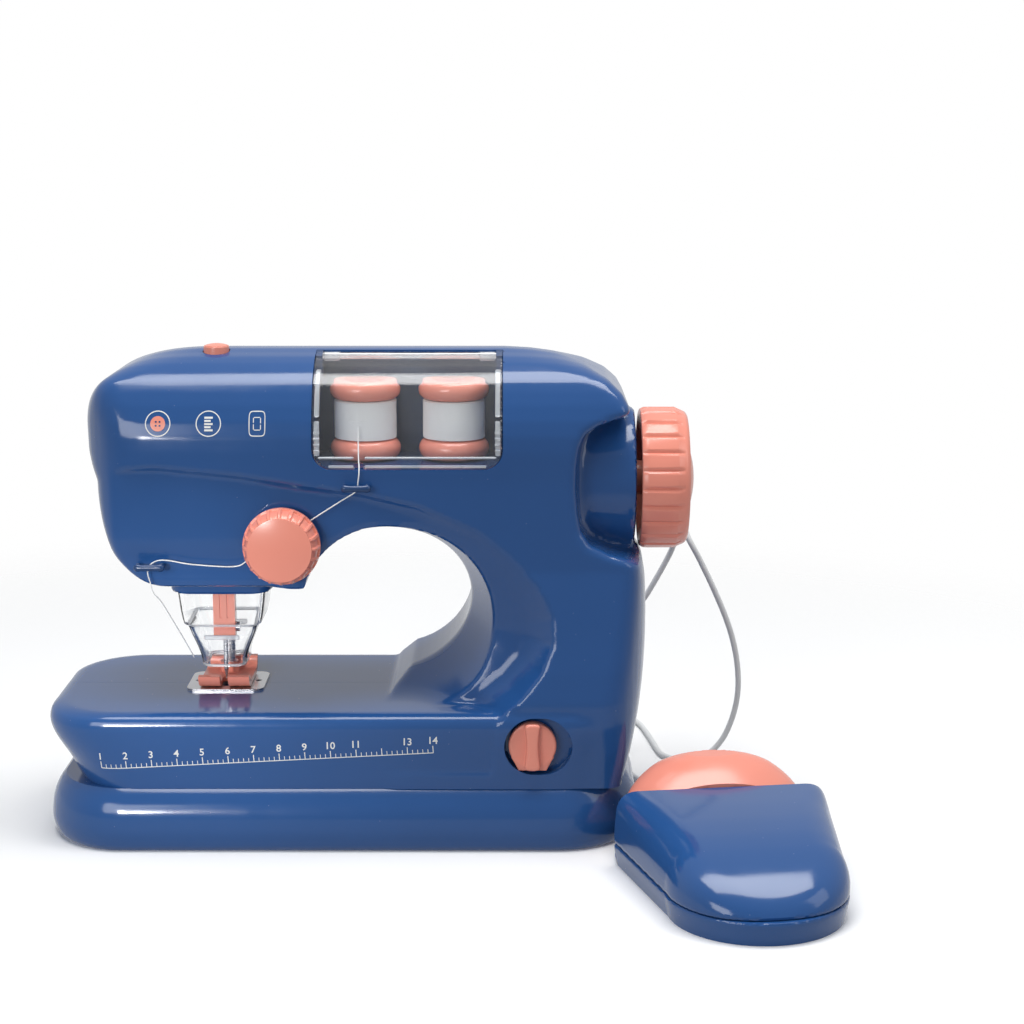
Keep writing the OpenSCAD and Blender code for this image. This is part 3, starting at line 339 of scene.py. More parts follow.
cord_coil = [coil_point(a) for a in range(0, 2 * COIL_INNER + 1, COIL_PITCH)]
PEDAL_AT = (146.5, -23.4)
PEDAL_TURN = math.radians(8)
GLAND_OUT, GLAND_Z = 8, 5.0
pedal_exit = (PEDAL_AT[0] - GLAND_OUT * math.sin(PEDAL_TURN),
              PEDAL_AT[1] + GLAND_OUT * math.cos(PEDAL_TURN), GLAND_Z)
cord_tail = [
    (COIL_AT[0] + CORD, COIL_AT[1] - COIL_R, COIL_Z + COIL_STEP), (83, 97.2, 4.6),
    (90, 96.6, 3), (97, 94, 1.8), (104, 88.5, FLOOR_Z), (110, 80, FLOOR_Z),
    (115, 68, FLOOR_Z), (119, 54, FLOOR_Z), (123, 41, FLOOR_Z), (127.6, 31.5, FLOOR_Z),
    (133, 23.6, 1.5), (138, 15.8, 2.4), (141.4, 7.6, 3.7),
    (pedal_exit[0] - 1.6, pedal_exit[1] + 13, 4.8),
    (pedal_exit[0] - 0.9, pedal_exit[1] + 6.5, GLAND_Z), pedal_exit]
cord_points = smooth_way(cord_run + cord_coil + cord_tail)
pedal_cord = line_piece("pedal_cord", cord_points, CORD, "cord_white")
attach(pedal_cord, "machine")
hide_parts("pedal_cord_run", "pedal_cord_coil", "pedal_cord_tail")


# Smooth forms as distance fields in millimetres, negative inside
def arc(centre, radii, first, last, count):
    """Points of an elliptic arc between two angles in degrees."""
    turn = np.radians(np.linspace(first, last, count + 1))
    return np.c_[centre[0] + radii[0] * np.cos(turn), centre[1] + radii[1] * np.sin(turn)]


def round_max(a, b, k):
    """The greater of two fields, with a round outer edge of size k."""
    return np.maximum(a, b) + np.maximum(k - np.abs(a - b), 0) ** 2 / (4 * k)


def round_min(a, b, k):
    """The lesser of two fields, with a round inner corner of size k."""
    return -round_max(-a, -b, k)


TINY = 1e-12
FAR = 1e9


def read_curve(places, values, at):
    """Smooth curve through points, without overshoot."""
    x, y = np.array(places, float), np.array(values, float)
    h = np.diff(x)
    d = np.diff(y) / h
    before, after = d[:-1], d[1:]
    inner = np.where(before * after > 0, 2 * before * after / (before + after + TINY), 0)
    m = np.r_[d[0], inner, d[-1]]
    at = np.clip(at, x[0], x[-1])
    i = np.clip(np.searchsorted(x, at) - 1, 0, len(h) - 1)
    t = (at - x[i]) / h[i]
    return ((1 + 2 * t) * (1 - t) ** 2 * y[i] + t * (1 - t) ** 2 * h[i] * m[i]
            + t * t * (3 - 2 * t) * y[i + 1] + t * t * (t - 1) * h[i] * m[i + 1])


class Sheet:
    """Signed distance to a closed outline, read smoothly from a grid."""

    def __init__(self, outline, margin=40, step=1.0):
        p = np.array(outline, float)
        self.low = p.min(0) - margin
        self.step = step
        size = np.ceil((p.max(0) + margin - self.low) / step).astype(int) + 1
        u, v = np.meshgrid(*(np.arange(n) * step for n in size), indexing="ij")
        at = np.stack([u.ravel(), v.ravel()], 1) + self.low
        best = np.full(len(at), FAR)
        inside = np.zeros(len(at), bool)
        for a, b in zip(p, np.roll(p, -1, 0)):
            e = b - a
            t = np.clip(((at - a) @ e) / (e @ e + TINY), 0, 1)
            best = np.minimum(best, ((at - a - t[:, None] * e) ** 2).sum(1))
            cross = (a[1] > at[:, 1]) != (b[1] > at[:, 1])
            inside ^= cross & (at[:, 0] < e[0] * (at[:, 1] - a[1]) / (e[1] + TINY) + a[0])
        self.grid = np.where(inside, -1, 1).reshape(size) * np.sqrt(best).reshape(size)

    def __call__(self, a, b):
        w = []
        index = []
        for k, x in enumerate((a, b)):
            s = np.clip((x - self.low[k]) / self.step, 1, self.grid.shape[k] - 2.001)
            i = s.astype(int)
            t = s - i
            index.append(i)
            w.append([(1 - t) ** 3 / 6, (4 - 6 * t ** 2 + 3 * t ** 3) / 6,
                      (1 + 3 * t + 3 * t ** 2 - 3 * t ** 3) / 6, t ** 3 / 6])
        total = 0
        for m in range(4):
            for n in range(4):
                row = index[0] + m - 1
                column = np.minimum(index[1] + n - 1, self.grid.shape[1] - 1)
                total = total + w[0][m] * w[1][n] * self.grid[row, column]
        return total


def box_field(a, b, low, high, radius):
    """Rectangle with round corners in two of the coordinates."""
    p = np.abs(a - (low[0] + high[0]) / 2) - (high[0] - low[0]) / 2 + radius
    q = np.abs(b - (low[1] + high[1]) / 2) - (high[1] - low[1]) / 2 + radius
    outside = np.hypot(np.maximum(p, 0), np.maximum(q, 0))
    return outside + np.minimum(np.maximum(p, q), 0) - radius


def slopes(field, p, eps=0.02):
    """Gradient of a field at points."""
    out = np.empty_like(p)
    for k in range(3):
        step = np.zeros(3)
        step[k] = eps
        out[:, k] = (field(*(p + step).T) - field(*(p - step).T)) / (2 * eps)
    return out


def drawn_to_surface(fields, p, step):
    """Points moved onto the surface, and onto the edge where two fields meet."""
    start = p.copy()
    each = np.arange(len(p))
    for _ in range(5):
        stack = np.array([f(*p.T) for f in fields])
        order = np.argsort(-stack, axis=0)[:2]
        first = np.take_along_axis(stack, order[:1], 0)[0]
        steep = np.array([slopes(f, p) for f in fields])
        g = steep[order[0], each]
        move = -(first / ((g * g).sum(1) + 1e-9))[:, None] * g
        if len(fields) > 1:
            second = np.take_along_axis(stack, order[1:2], 0)[0]
            h = steep[order[1], each]
            gg, hh, gh = (g * g).sum(1), (h * h).sum(1), (g * h).sum(1)
            det = gg * hh - gh * gh
            ok = det > 0.05 * gg * hh
            det = np.where(ok, det, 1)
            s = (hh * first - gh * second) / det
            t = (gg * second - gh * first) / det
            both = -(s[:, None] * g + t[:, None] * h)
            near = ok & (np.abs(p + both - start).max(1) < 0.62 * step)
            move = np.where(near[:, None], both, move)
        length = np.linalg.norm(move, axis=1, keepdims=True)
        p = p + move * np.minimum(1, 0.7 * step / (length + 1e-9))
        p = start + np.clip(p - start, -0.95 * step, 0.95 * step)
    return p


def cells_round(hit, other, corners):
    """The cells round grid edges, one array of cell indices for each corner."""
    for m, n in corners:
        cell = hit.copy()
        cell[:, other[0]] -= m
        cell[:, other[1]] -= n
        yield tuple(cell.T)


def net(fields, low, high, step):
    """Mesh of the region where every field is negative, with kept edges."""
    low = np.array(low, float) - step * 0.37
    size = np.ceil((np.array(high) + step - low) / step).astype(int) + 1
    axes = [low[k] + np.arange(size[k]) * step for k in range(3)]
    whole = np.full(size, -FAR)
    y, z = (a.ravel() for a in np.meshgrid(axes[1], axes[2], indexing="ij"))
    for i, x in enumerate(axes[0]):
        for field in fields:
            level = field(np.full(len(y), x), y, z).reshape(size[1:])
            whole[i] = np.maximum(whole[i], level)
    inside = whole < 0
    cells = np.zeros(size - 1, int)
    total = np.zeros((*(size - 1), 3))
    count = np.zeros(size - 1)
    crossings = []
    for k in range(3):
        a = tuple(slice(0, -1) if m == k else slice(None) for m in range(3))
        b = tuple(slice(1, None) if m == k else slice(None) for m in range(3))
        hit = np.argwhere(inside[a] != inside[b])
        other = [m for m in range(3) if m != k]
        keep = np.all((hit[:, other] > 0) & (hit[:, other] < (size - 1)[other]), axis=1)
        hit = hit[keep]
        va, vb = whole[a][tuple(hit.T)], whole[b][tuple(hit.T)]
        at = hit.astype(float)
        at[:, k] += va / (va - vb)
        for cell in cells_round(hit, other, ((0, 0), (0, 1), (1, 0), (1, 1))):
            np.add.at(total, cell, at)
            np.add.at(count, cell, 1)
        crossings.append((k, hit, va < 0, other))
    used = count > 0
    cells[used] = np.arange(used.sum())
    p = drawn_to_surface(fields, low + step * total[used] / count[used][:, None], step)
    faces = []
    for k, hit, outward, other in crossings:
        ring = cells_round(hit, other, ((0, 0), (1, 0), (1, 1), (0, 1)))
        quad = np.stack([cells[cell] for cell in ring], 1)
        flip = outward if k == 1 else ~outward
        quad[flip] = quad[flip][:, ::-1]
        faces.append(quad)
    return p, np.concatenate(faces)


def face_outward(mesh, merge=0):
    """Faces of a closed mesh turned outwards, after its doubles are merged."""
    work = bmesh.new()
    work.from_mesh(mesh)
    if merge:
        bmesh.ops.remove_doubles(work, verts=work.verts, dist=merge)
    bmesh.ops.recalc_face_normals(work, faces=work.faces)
    work.to_mesh(mesh)
    work.free()


def skin_piece(name, points, faces, slot, sharp=34):
    """Smooth mesh piece from points in millimetres, creased at sharp angles."""
    mesh = bpy.data.meshes.new(name)
    mesh.from_pydata((np.array(points) * MM).tolist(), [], np.array(faces).tolist())
    face_outward(mesh)
    mesh.polygons.foreach_set("use_smooth", [True] * len(mesh.polygons))
    mesh.set_sharp_from_angle(angle=math.radians(sharp))
    obj = bpy.data.objects.new(name, mesh)
    scene.collection.objects.link(obj)
    return dress(obj, slot)


def worn_by(obj, body, *solids, slot="white_plastic"):
    """The piece moves with a body and is seen in place of these solids."""
    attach(obj, body)
    if solids:
        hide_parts(*solids)
    return obj


# Casing halves: arm, head and column with the bed, as one smooth hollow form
WALL = 2.4
SKIN = 4.2
ARM_Z = 198.8
HEAD_Z = 104.0
BED_Z = 56.0
FOOT_Z = 25.0
SEAM = 0.06
BED_CORNER, BED_EDGE = 27, 1.6
SIDE_EDGE, PLAN_EDGE, NOTCH_EDGE = 5.0, 6.0, 3.4
BOSS_R = 28
SHAFT_Z, SHAFT_HOLE_R = 143.6, 3.5
THROAT, THROAT_R = (18.5, 96.0), 33.7
STEP_Y = -35.6
RECESS_AT, RECESS_R, RECESS_Y = (79.5, 43), 11.8, -43.5
BUTTON_AT, BUTTON_HOLE_R = (-50.5, -7), 5.5
TENSION = (-22.0, -39.4, 123.2)
TENSION_HOLE_R = 3.2
CORD_HOLE_AT, CORD_HOLE_R = (100, 34), 3.1
SCREWS = [(-72, 176), (84, 178), (104, 96), (-78, 42), (36, 42)]
POST_R, SCREW_HOLE_R = 4.8, 3.4

front_view = Sheet(np.vstack([
    [(20, 14), (112, 14)],
    [(125 - (z - 88) ** 2 / 340, z) for z in range(26, 107, 5)],
    [(122.4, 113), (121, 130), (119.6, 150), (118, 168)],
    [(117, 171.4), (115.6, 176.6), (112.8, 181.8), (107.3, 187), (98.4, 191.8),
     (86, 195.8), (76, 197.8), (66, ARM_Z)],
    arc((-50, ARM_Z - 30.5), (55, 30.5), 90, 180, 22),
    [(-104.2, 157), (-101.5, 151)],
    arc((-70, 146), (28.5, 146 - HEAD_Z), 180, 270, 18),
    arc(THROAT, (THROAT_R, THROAT_R),
        180 - math.degrees(math.asin((HEAD_Z - THROAT[1]) / THROAT_R)), -75, 40),
    [(20, BED_Z + 1.5)]]))
side_levels = (14, 50, 60, 72, 84, 112, 148, 160, 166, 172, 178, 183, 187, 190, 193, 195.4,
               196.8, ARM_Z)
side_depths = (46, 49.4, 49, 47, 44.6, 39.2, 38, 38.2, 37.8, 36.4, 33.9, 31, 28.2, 24.6, 20,
               14.4, 9, 4)
side_half = list(zip(side_depths, side_levels))
side_view = Sheet(side_half + [(-y, z) for y, z in side_half[::-1]])
plan_view = Sheet(np.vstack([
    arc((95, 0), (31.6, 57.5), -78, 78, 24), arc((-70, 0), (35, 43), 100, 260, 24)]))
swirl_view = Sheet([
    (-125, 92), (15, 92), (15, 30), (62, 30), (66, 56), (73, 62), (81, 72), (85.5, 83),
    (85, 94), (79, 105.5), (70, 115.5), (56, 127), (32, 138), (9, 143.3), (-15, 146.7),
    (-40, 150.7), (-72, 154), (-98, 153), (-125, 151)])
notch_view = Sheet([
    (136, 113), (120, 115), (108, 118.5), (100, 122.5), (96.4, 128), (95, 136), (94.4, 145),
    (94.6, 154), (95.6, 161.5), (98, 166.8), (103, 170), (110, 172.4), (117, 174), (136, 177)])


def rod(a, b, at, radius):
    """Round bar or bore at a place in two of the coordinates."""
    return np.hypot(a - at[0], b - at[1]) - radius


def slab(a, low, high):
    """What lies between two levels of one coordinate."""
    return np.maximum(low - a, a - high)


def bed_field(x, y, z):
    """Bed with sides that lean out and a soft upper edge."""
    left, right, reach = (read_curve((14, 32, 50, 53.6, 55.6, 57), v, z) for v in (
        (-103, -111.4, -119.8, -119, -116.4, -112),
        (111, 114.3, 117.3, 116.8, 114.6, 111),
        (46, 48, 49.9, 49.2, 46.9, 43)))
    side = box_field(x, y, (left, -reach), (right, reach), BED_CORNER)
    return round_max(side, z - BED_Z, BED_EDGE)


def swirl_cut(x, y, z):
    """What the step along the arm and the scoop of the column take off the front."""
    swirl = swirl_view(x, z)
    width = read_curve((40, 112, 134, 142, 200), (14, 13, 5, 2.4, 2.4), z)
    share = np.clip(-swirl / width, 0, 1)
    low_part = read_curve((40, 100, 126, 200), (1, 1, 0, 0), z)
    scoop = 5.0 * np.clip(-swirl / 26, 0, 1) ** 2 * low_part
    full = read_curve(side_levels, side_depths, z)
    face = -full + (full + STEP_Y + scoop) * share * (2 - share)
    return np.maximum(swirl, (y - face) * 0.75)


def casing_field(x, y, z):
    """Outside of the whole casing."""
    head = np.clip((-16 - x) / 12, 0, 1)
    under = read_curve((60, 98, 112, 126, 200), (0, 9, 9, 0, 0), z) * head
    body = round_max(front_view(x, z), side_view(y, z), SIDE_EDGE + under)
    body = round_max(body, plan_view(x, y), PLAN_EDGE)
    body = round_max(body, -notch_view(x, z), NOTCH_EDGE)
    body = round_max(body, -swirl_cut(x, y, z), 0.9)
    reach = THROAT_R - 2.5 + 17.5 * (-y - 12) / 50
    flare = (np.hypot(x - THROAT[0] - 5, z - THROAT[1] + 6) - reach) * 0.94
    body = round_max(body, -flare, 1.0)
    boss = round_max(rod(y, z, (0, SHAFT_Z), BOSS_R), slab(x, 66, 119), 2.0)
    body = round_min(body, boss, 6.0)
    body = round_min(body, bed_field(x, y, z), 3.0)
    skirt = box_field(x, y, (-71, -20), (-29.5, 20), 9)
    skirt = round_max(skirt, slab(z, HEAD_Z - 5.5, 108), 1.2)
    return round_min(body, skirt, 1.5)


def oval_recess(x, z, more):
    """Oval of the switch, wider by more."""
    across = np.maximum(np.abs(x - RECESS_AT[0]) - 1.8, 0)
    return np.hypot(across, z - RECESS_AT[1]) - RECESS_R - more


def hollow(x, y, z):
    """What is left of the casing's wall, its posts and the switch pocket."""
    room = casing_field(x, y, z) + SKIN
    pocket = np.maximum(oval_recess(x, z, WALL), y - RECESS_Y - WALL)
    room = np.maximum(room, -pocket)
    for at in SCREWS:
        room = np.maximum(room, -rod(x, z, at, POST_R))
    return -room


LAMP_X, LAMP_Z, LAMP_DIP = -91.0, 126.0, math.radians(115)


def lamp_hole(x, y, z):
    """All but the oval bore of the lamp, which looks down and out."""
    up = (x - LAMP_X) * math.cos(LAMP_DIP) + (z - LAMP_Z) * math.sin(LAMP_DIP)
    out = -(x - LAMP_X) * math.sin(LAMP_DIP) + (z - LAMP_Z) * math.cos(LAMP_DIP)
    return -np.maximum((np.hypot(up / 18, y / 13) - 1) * 14, -out - 20)


def needle_room(x, y, z):
    """All but the pocket of the guard and the slot of the needle bar."""
    pocket = box_field(x, y, (-68.6, -17.6), (-31.9, 17.6), 6.6)
    slot = box_field(x, y, (-54.9, -8.9), (-45.1, 8.9), 0.5)
    return -np.minimum(np.maximum(pocket, slab(z, 90, HEAD_Z)),
                       np.maximum(slot, slab(z, 90, 112)))


WINDOW_X, WINDOW_Z, WINDOW_CORNER = (-10.0, 65.4), (153, 240), 8


def window(x, y, z):
    """All but the opening in front of the spools."""
    opening = box_field(x, z, *zip(WINDOW_X, WINDOW_Z), WINDOW_CORNER)
    return -np.maximum(opening, y + 6.2)


def switch_recess(x, y, z):
    """All but the oval recess of the switch."""
    return -np.maximum(oval_recess(x, z, 0), y - RECESS_Y)


def shaft_hole(x, y, z):
    return np.maximum(rod(y, z, (0, SHAFT_Z), SHAFT_HOLE_R), 100 - x)


def small_holes(x, y, z):
    """All but the front's holes for button, tension post, switch, shaft and needle."""
    holes = [
        np.maximum(rod(x, y, BUTTON_AT, BUTTON_HOLE_R), 180 - z),
        np.maximum(rod(x, z, TENSION[::2], TENSION_HOLE_R), y),
        np.maximum(box_field(x, z, (74.8, 40.6), (83.1, 45.4), 2), y),
        shaft_hole(x, y, z),
        np.maximum(box_field(x, y, (-53, -9), (-47, -3), 2), np.abs(z - BED_Z) - 8)]
    return -np.minimum.reduce(holes)


def back_holes(x, y, z):
    """All but the back's holes for the cord, the screws and the shaft."""
    hole = np.minimum(rod(x, z, CORD_HOLE_AT, CORD_HOLE_R), shaft_hole(x, y, z))
    for at in SCREWS:
        hole = np.minimum(hole, np.maximum(rod(x, z, at, SCREW_HOLE_R), 10.5 - y))
    return -hole


NET = 1.55
LEFT, RIGHT, DEEP, HIGH = -122, 126, 57, 200
common = [casing_field, hollow, lambda x, y, z: FOOT_Z - z, lamp_hole, needle_room]
front_only = [lambda x, y, z: y + SEAM, window, switch_recess, small_holes]
rear_only = [lambda x, y, z: SEAM - y, back_holes]
front_shape = net(common + front_only, (LEFT, -DEEP, FOOT_Z), (RIGHT, 0, HIGH), NET)
front_skin = skin_piece("front_casing_skin", *front_shape, "blue_plastic")
worn_by(front_skin, "machine", "front_casing")
rear_shape = net(common + rear_only, (LEFT, 0, FOOT_Z), (RIGHT, DEEP, HIGH), NET)
rear_skin = skin_piece("rear_casing_skin", *rear_shape, "blue_plastic")
worn_by(rear_skin, "machine", "rear_casing")


# Plinth with its battery opening and screw bores
PLINTH = ((-121, -53), (121, 53))
PLINTH_CORNER = 34
PLINTH_SKIN = 3.2
DOOR = ((28.8, -31), (83.2, 31))
CASING_SEAT = ((-107.4, -39.4), (107.4, 39.4))
BASE_SCREWS = [(-92, -28), (-92, 28), (4, -34), (4, 34)]


def plinth_field(x, y, z):
    """Outside of the plinth, widest a third of the way up."""
    inset = read_curve((-1, 0, 1.2, 3, 8, 14, 18, 21.5, 24, 25, 26),
                       (4.6, 3.2, 1.9, 0.9, 0, 0.5, 1.5, 3.1, 4.8, 6.0, 7.4), z)
    return (box_field(x, y, *PLINTH, PLINTH_CORNER) + inset) * 0.95


def plinth_room(x, y, z):
    """What is left of the plinth's wall, its posts and the door's screw block."""
    room = np.maximum(plinth_field(x, y, z) + PLINTH_SKIN, slab(z, WALL, 22.4))
    for at in BASE_SCREWS:
        room = np.maximum(room, -rod(x, y, at, 4.6))
    block = np.maximum(box_field(x, y, (86.8, -5), (94.8, 5), 0.5), z - 8)
    return -np.maximum(room, -block)


def plinth_holes(x, y, z):
    """All but the door's opening, the casing's seat, the finger notch and the bores."""
    hole = np.minimum.reduce([
        np.maximum(box_field(x, y, *DOOR, 2), z - 5),
        np.maximum(box_field(x, y, *CASING_SEAT, 20.4), 20 - z),
        np.maximum(box_field(x, y, (81.2, -5), (92.8, 5), 0.5), z - 1.9)])
    for at in BASE_SCREWS:
        head = np.maximum(rod(x, y, at, SCREW_HOLE_R), z - 12)
        hole = np.minimum(hole, np.minimum(head, rod(x, y, at, 1.8)))
    return -hole


def above_floor(x, y, z):
    return -z


plinth_shape = net(
    [plinth_field, above_floor, lambda x, y, z: z - FOOT_Z, plinth_room, plinth_holes],
    (-122, -54, 0), (122, 54, 25), 1.5)
plinth_skin = skin_piece("plinth_skin", *plinth_shape, "blue_plastic")
worn_by(plinth_skin, "machine", "base_tray")


# Pedal, in its own frame: x across, y from the heel at 0 towards the nose
PEDAL_EDGE = 38.0
PEDAL_SCREWS = ((-24, -72), (24, -72), (0, -104))
HEEL_TOP = 38.4
BASE_TOP = 8.95
pedal_plan = Sheet(np.vstack([
    arc((0, -38), (43, 38), 0, 180, 40), arc((0, -93), (34.5, 34), 180, 360, 40)]))


def pedal_top(y):
    """Height of the blue part along the pedal."""
    return read_curve((-134, -127, -121, -113, -104, -95, -84, -70, -54, -38, -20),
                      (-2, 9.4, 15.2, 20.2, 23.9, 26.5, 28.4, 29.6, 30.1, 30.2, 30.2), y)


def pedal_side(x, y, z):
    inset = read_curve((0, 3, 9, 13, 20, 26, 32), (1.4, 0.9, 0, 0, 0.4, 1.0, 1.6), z)
    return pedal_plan(x, y) + inset


def blue_field(x, y, z):
    """Outside of the blue part, softest at the middle of its slope."""
    slope = pedal_top(y + 0.5) - pedal_top(y - 0.5)
    soft = read_curve((-130, -118, -104, -84, -60, -38, 0), (5, 8, 12, 14, 12, 8, 8), y)
    above = (z - pedal_top(y)) / np.sqrt(1 + slope ** 2)
    return round_max(pedal_side(x, y, z), above, soft)


def heel_field(x, y, z):
    """Dome of the salmon heel: an oval at each level."""
    levels = (0, 8, 12, 16, 21, 25, 28.6, 32, 34.4, 36.4, 37.7, HEEL_TOP)
    middle, wide, deep = (read_curve(levels, v, z) for v in (
        (-37, -37, -34, -29.4, -26, -24.3, -23, -21.6, -20.6, -19.9, -19.5, -19.4),
        (39.6, 40.2, 39.6, 38.4, 36.4, 34, 31, 27, 23.4, 18.6, 13.4, 6.6),
        (35.6, 36.4, 33.2, 28, 23.6, 20.8, 18.2, 15, 12.2, 9, 6.2, 3)))
    oval = (np.hypot(x / wide, (y - middle) / deep) - 1) * deep * 0.9
    return np.maximum(oval, z - HEEL_TOP)


def heel_hollow(x, y, z):
    return -np.maximum(heel_field(x, y, z) + 2.2, heel_field(x, y, z + 2.6))


def heel_notch(x, y, z):
    """All but the notch over the cord's gland."""
    return -np.maximum(box_field(x, z, (-6.4, 0), (6.4, 15), 3), -12 - y)


def base_outside(x, y, z):
    top = np.where(y < -PEDAL_EDGE + 0.2, z - BASE_TOP, z - 14)
    return round_max(pedal_side(x, y, z), top, 1.0)


def base_shape(x, y, z):
    """Floor, rim, lugs, gland block and posts of the pedal's base, with their bores."""
    wall = np.maximum(pedal_plan(x, y) + 3.4, WALL - z)
    rim = np.abs(pedal_plan(x, y) + 9.2) - 1.0
    heel = np.maximum(np.minimum(z - WALL, np.maximum(rim, z - 5.4)), -PEDAL_EDGE - y)
    front = np.maximum(-wall, y + PEDAL_EDGE - 0.2)
    lug = np.maximum(box_field(np.abs(x), y, (30, -38), (33, -30), 0.3), z - 13.6)
    gland = np.maximum(box_field(x, y, (-5.4, -8), (5.4, -1), 0.6), z - 8.6)
    whole = np.minimum.reduce([heel, front, lug, gland])
    bore = np.maximum(rod(x, z, (0, GLAND_Z), 3), -11 - y)
    for at in PEDAL_SCREWS:
        whole = np.minimum(whole, np.maximum(rod(x, y, at, 3.6), z - 10))
        head = np.maximum(rod(x, y, at, 3.2), z - 3)
        bore = np.minimum(bore, np.minimum(head, rod(x, y, at, 1.8)))
    return np.maximum(whole, -bore)


def pedal_piece(name, fields, low, high, step, body, node, slot):
    """Piece made in the pedal's own frame and put in its place."""
    points, faces = net(fields, low, high, step)
    c, s = math.cos(PEDAL_TURN), math.sin(PEDAL_TURN)
    x, y, z = points.T
    placed = np.c_[PEDAL_AT[0] + c * x - s * y, PEDAL_AT[1] + s * x + c * y, z]
    return worn_by(skin_piece(name, placed, faces, slot), body, node)


pedal_piece(
    "pedal_cover_skin", [
        lambda x, y, z: round_max(blue_field(x, y, z), 9.25 - z, 1.0),
        lambda x, y, z: -(blue_field(x, y, z) + WALL),
        lambda x, y, z: y + PEDAL_EDGE],
    (-45, -129, 9), (45, -37, 32), 1.1, "machine", "pedal_housing", "blue_plastic")
pedal_piece(
    "pedal_heel_skin", [
        heel_field, heel_hollow, lambda x, y, z: -PEDAL_EDGE + 0.6 - y,
        lambda x, y, z: 9.4 - z, heel_notch],
    (-45, -38, 9), (45, 1, 40), 0.9, "pedal_treadle", "pedal_treadle", "salmon_plastic")
pedal_piece(
    "pedal_base_skin", [base_outside, base_shape, above_floor],
    (-45, -129, 0), (45, 1, 14), 1.0, "machine", "pedal_base", "blue_plastic")


# Round pieces, turned about an axis
MERGE = 2e-6


def turned(name, origin, axis, profile, slot, segments=96, ripple=None):
    """Turned form of (radius, height) points, with an optional change of radius round it."""
    axis = Vector(axis)
    side = axis.orthogonal().normalized()
    other = axis.cross(side)
    points, faces = [], []
    n = len(profile)
    for j in range(segments):
        a = 2 * math.pi * j / segments
        out = side * math.cos(a) + other * math.sin(a)
        for r, h in profile:
            reach = r + (ripple(r, h, a) if ripple else 0)
            points.append(Vector(origin) + out * reach + axis * h)
    for j in range(segments):
        k = (j + 1) % segments
        for i in range(n - 1):
            faces.append((j * n + i, j * n + i + 1, k * n + i + 1, k * n + i))
    obj = skin_piece(name, [tuple(p) for p in points], faces, slot)
    face_outward(obj.data, MERGE)
    return obj


def bend(centre, radii, first, last, count):
    """Arc of a profile."""
    return [tuple(p) for p in arc(centre, radii, first, last, count)]


def wave(a, count, share, soft):
    """1 on a rib, 0 between ribs, for ribs that take this share of the pitch."""
    t = abs((a * count / (2 * math.pi)) % 1 - 0.5) * 2
    return min(1, max(0, (share - t) / soft + 0.5))


WHEEL_X, WHEEL_R, WHEEL_W = 121.2, 29.0, 18.0
WHEEL_END = WHEEL_X + WHEEL_W
WHEEL_HUB_R, WHEEL_BORE_R, WHEEL_HUB_X = 7, 2.5, 119.7
RIBBED_SEGMENTS = 288


def wheel_ribs(r, h, a):
    """Grooves between the grips of the wheel's rim."""
    on_rim = r > WHEEL_R - 1.6 and WHEEL_X + 1.5 < h < WHEEL_END - 2.2
    return -0.9 * (1 - wave(a, 24, 0.84, 0.2)) if on_rim else 0


wheel_profile = (
    [(0, WHEEL_END + 4.2)] + bend((0, WHEEL_END - 37), (40.2, 41.6), 88, 60, 10)
    + bend((WHEEL_R - 4.6, WHEEL_END - 1.6), (3.4, 3.4), 62, 12, 6)
    + [(WHEEL_R - 0.3, WHEEL_END - 3.0), (WHEEL_R, WHEEL_END - 3.6), (WHEEL_R, WHEEL_X + 3),
       (WHEEL_R - 0.1, WHEEL_X + 1.6), (WHEEL_R - 0.8, WHEEL_X + 0.3), (WHEEL_R - 1.4, WHEEL_X),
       (WHEEL_R - 3.0, WHEEL_X), (WHEEL_R - 3.2, WHEEL_X + 0.4),
       (WHEEL_R - 3.2, WHEEL_END - 2.6), (WHEEL_HUB_R, WHEEL_END - 2.6),
       (WHEEL_HUB_R, WHEEL_HUB_X), (WHEEL_BORE_R, WHEEL_HUB_X),
       (WHEEL_BORE_R, WHEEL_END - 1.5), (0, WHEEL_END - 1.5)])
handwheel_skin = turned("handwheel_skin", (0, 0, SHAFT_Z), (1, 0, 0), wheel_profile,
                        "salmon_plastic", RIBBED_SEGMENTS, wheel_ribs)
worn_by(handwheel_skin, "drive", "handwheel")


def knob_ribs(r, h, a):
    """Shallow grooves round the tension knob."""
    return -0.75 * (1 - wave(a, 20, 0.3, 0.16)) if r > 12.9 and 3 < h < 10 else 0


KNOB_BORE_R, KNOB_BORE_END = 3.05, 7.0
knob_profile = (
    [(KNOB_BORE_R, 0), (14.4, 0), (15.2, 0.5), (15.4, 1.2), (15.4, 2.9), (15.3, 3.1),
     (15.1, 5.6), (14.6, 7.6), (13.9, 9.0), (13.0, 9.9), (12.7, 10.1)]
    + bend((0, 2.0), (30, 10.2), 65, 90, 12)
    + [(0, 12.2), (0, KNOB_BORE_END), (KNOB_BORE_R, KNOB_BORE_END), (KNOB_BORE_R, 0)])
tension_skin = turned("tension_knob_skin", TENSION, (0, -1, 0), knob_profile,
                      "salmon_plastic", RIBBED_SEGMENTS, knob_ribs)
worn_by(tension_skin, "tension_knob", "tension_knob")

BUTTON_FOOT = 190.9
button_profile = (
    [(0, BUTTON_FOOT), (5.2, BUTTON_FOOT)] + bend((4.3, 198.2), (0.9, 0.8), 0, 70, 5)
    + bend((0, 189.6), (12, 10.2), 66, 90, 6) + [(0, 199.8)])
button_skin = turned("light_button_skin", (*BUTTON_AT, 0), (0, 0, 1), button_profile,
                     "salmon_plastic", 64)
worn_by(button_skin, "light_button", "light_button")

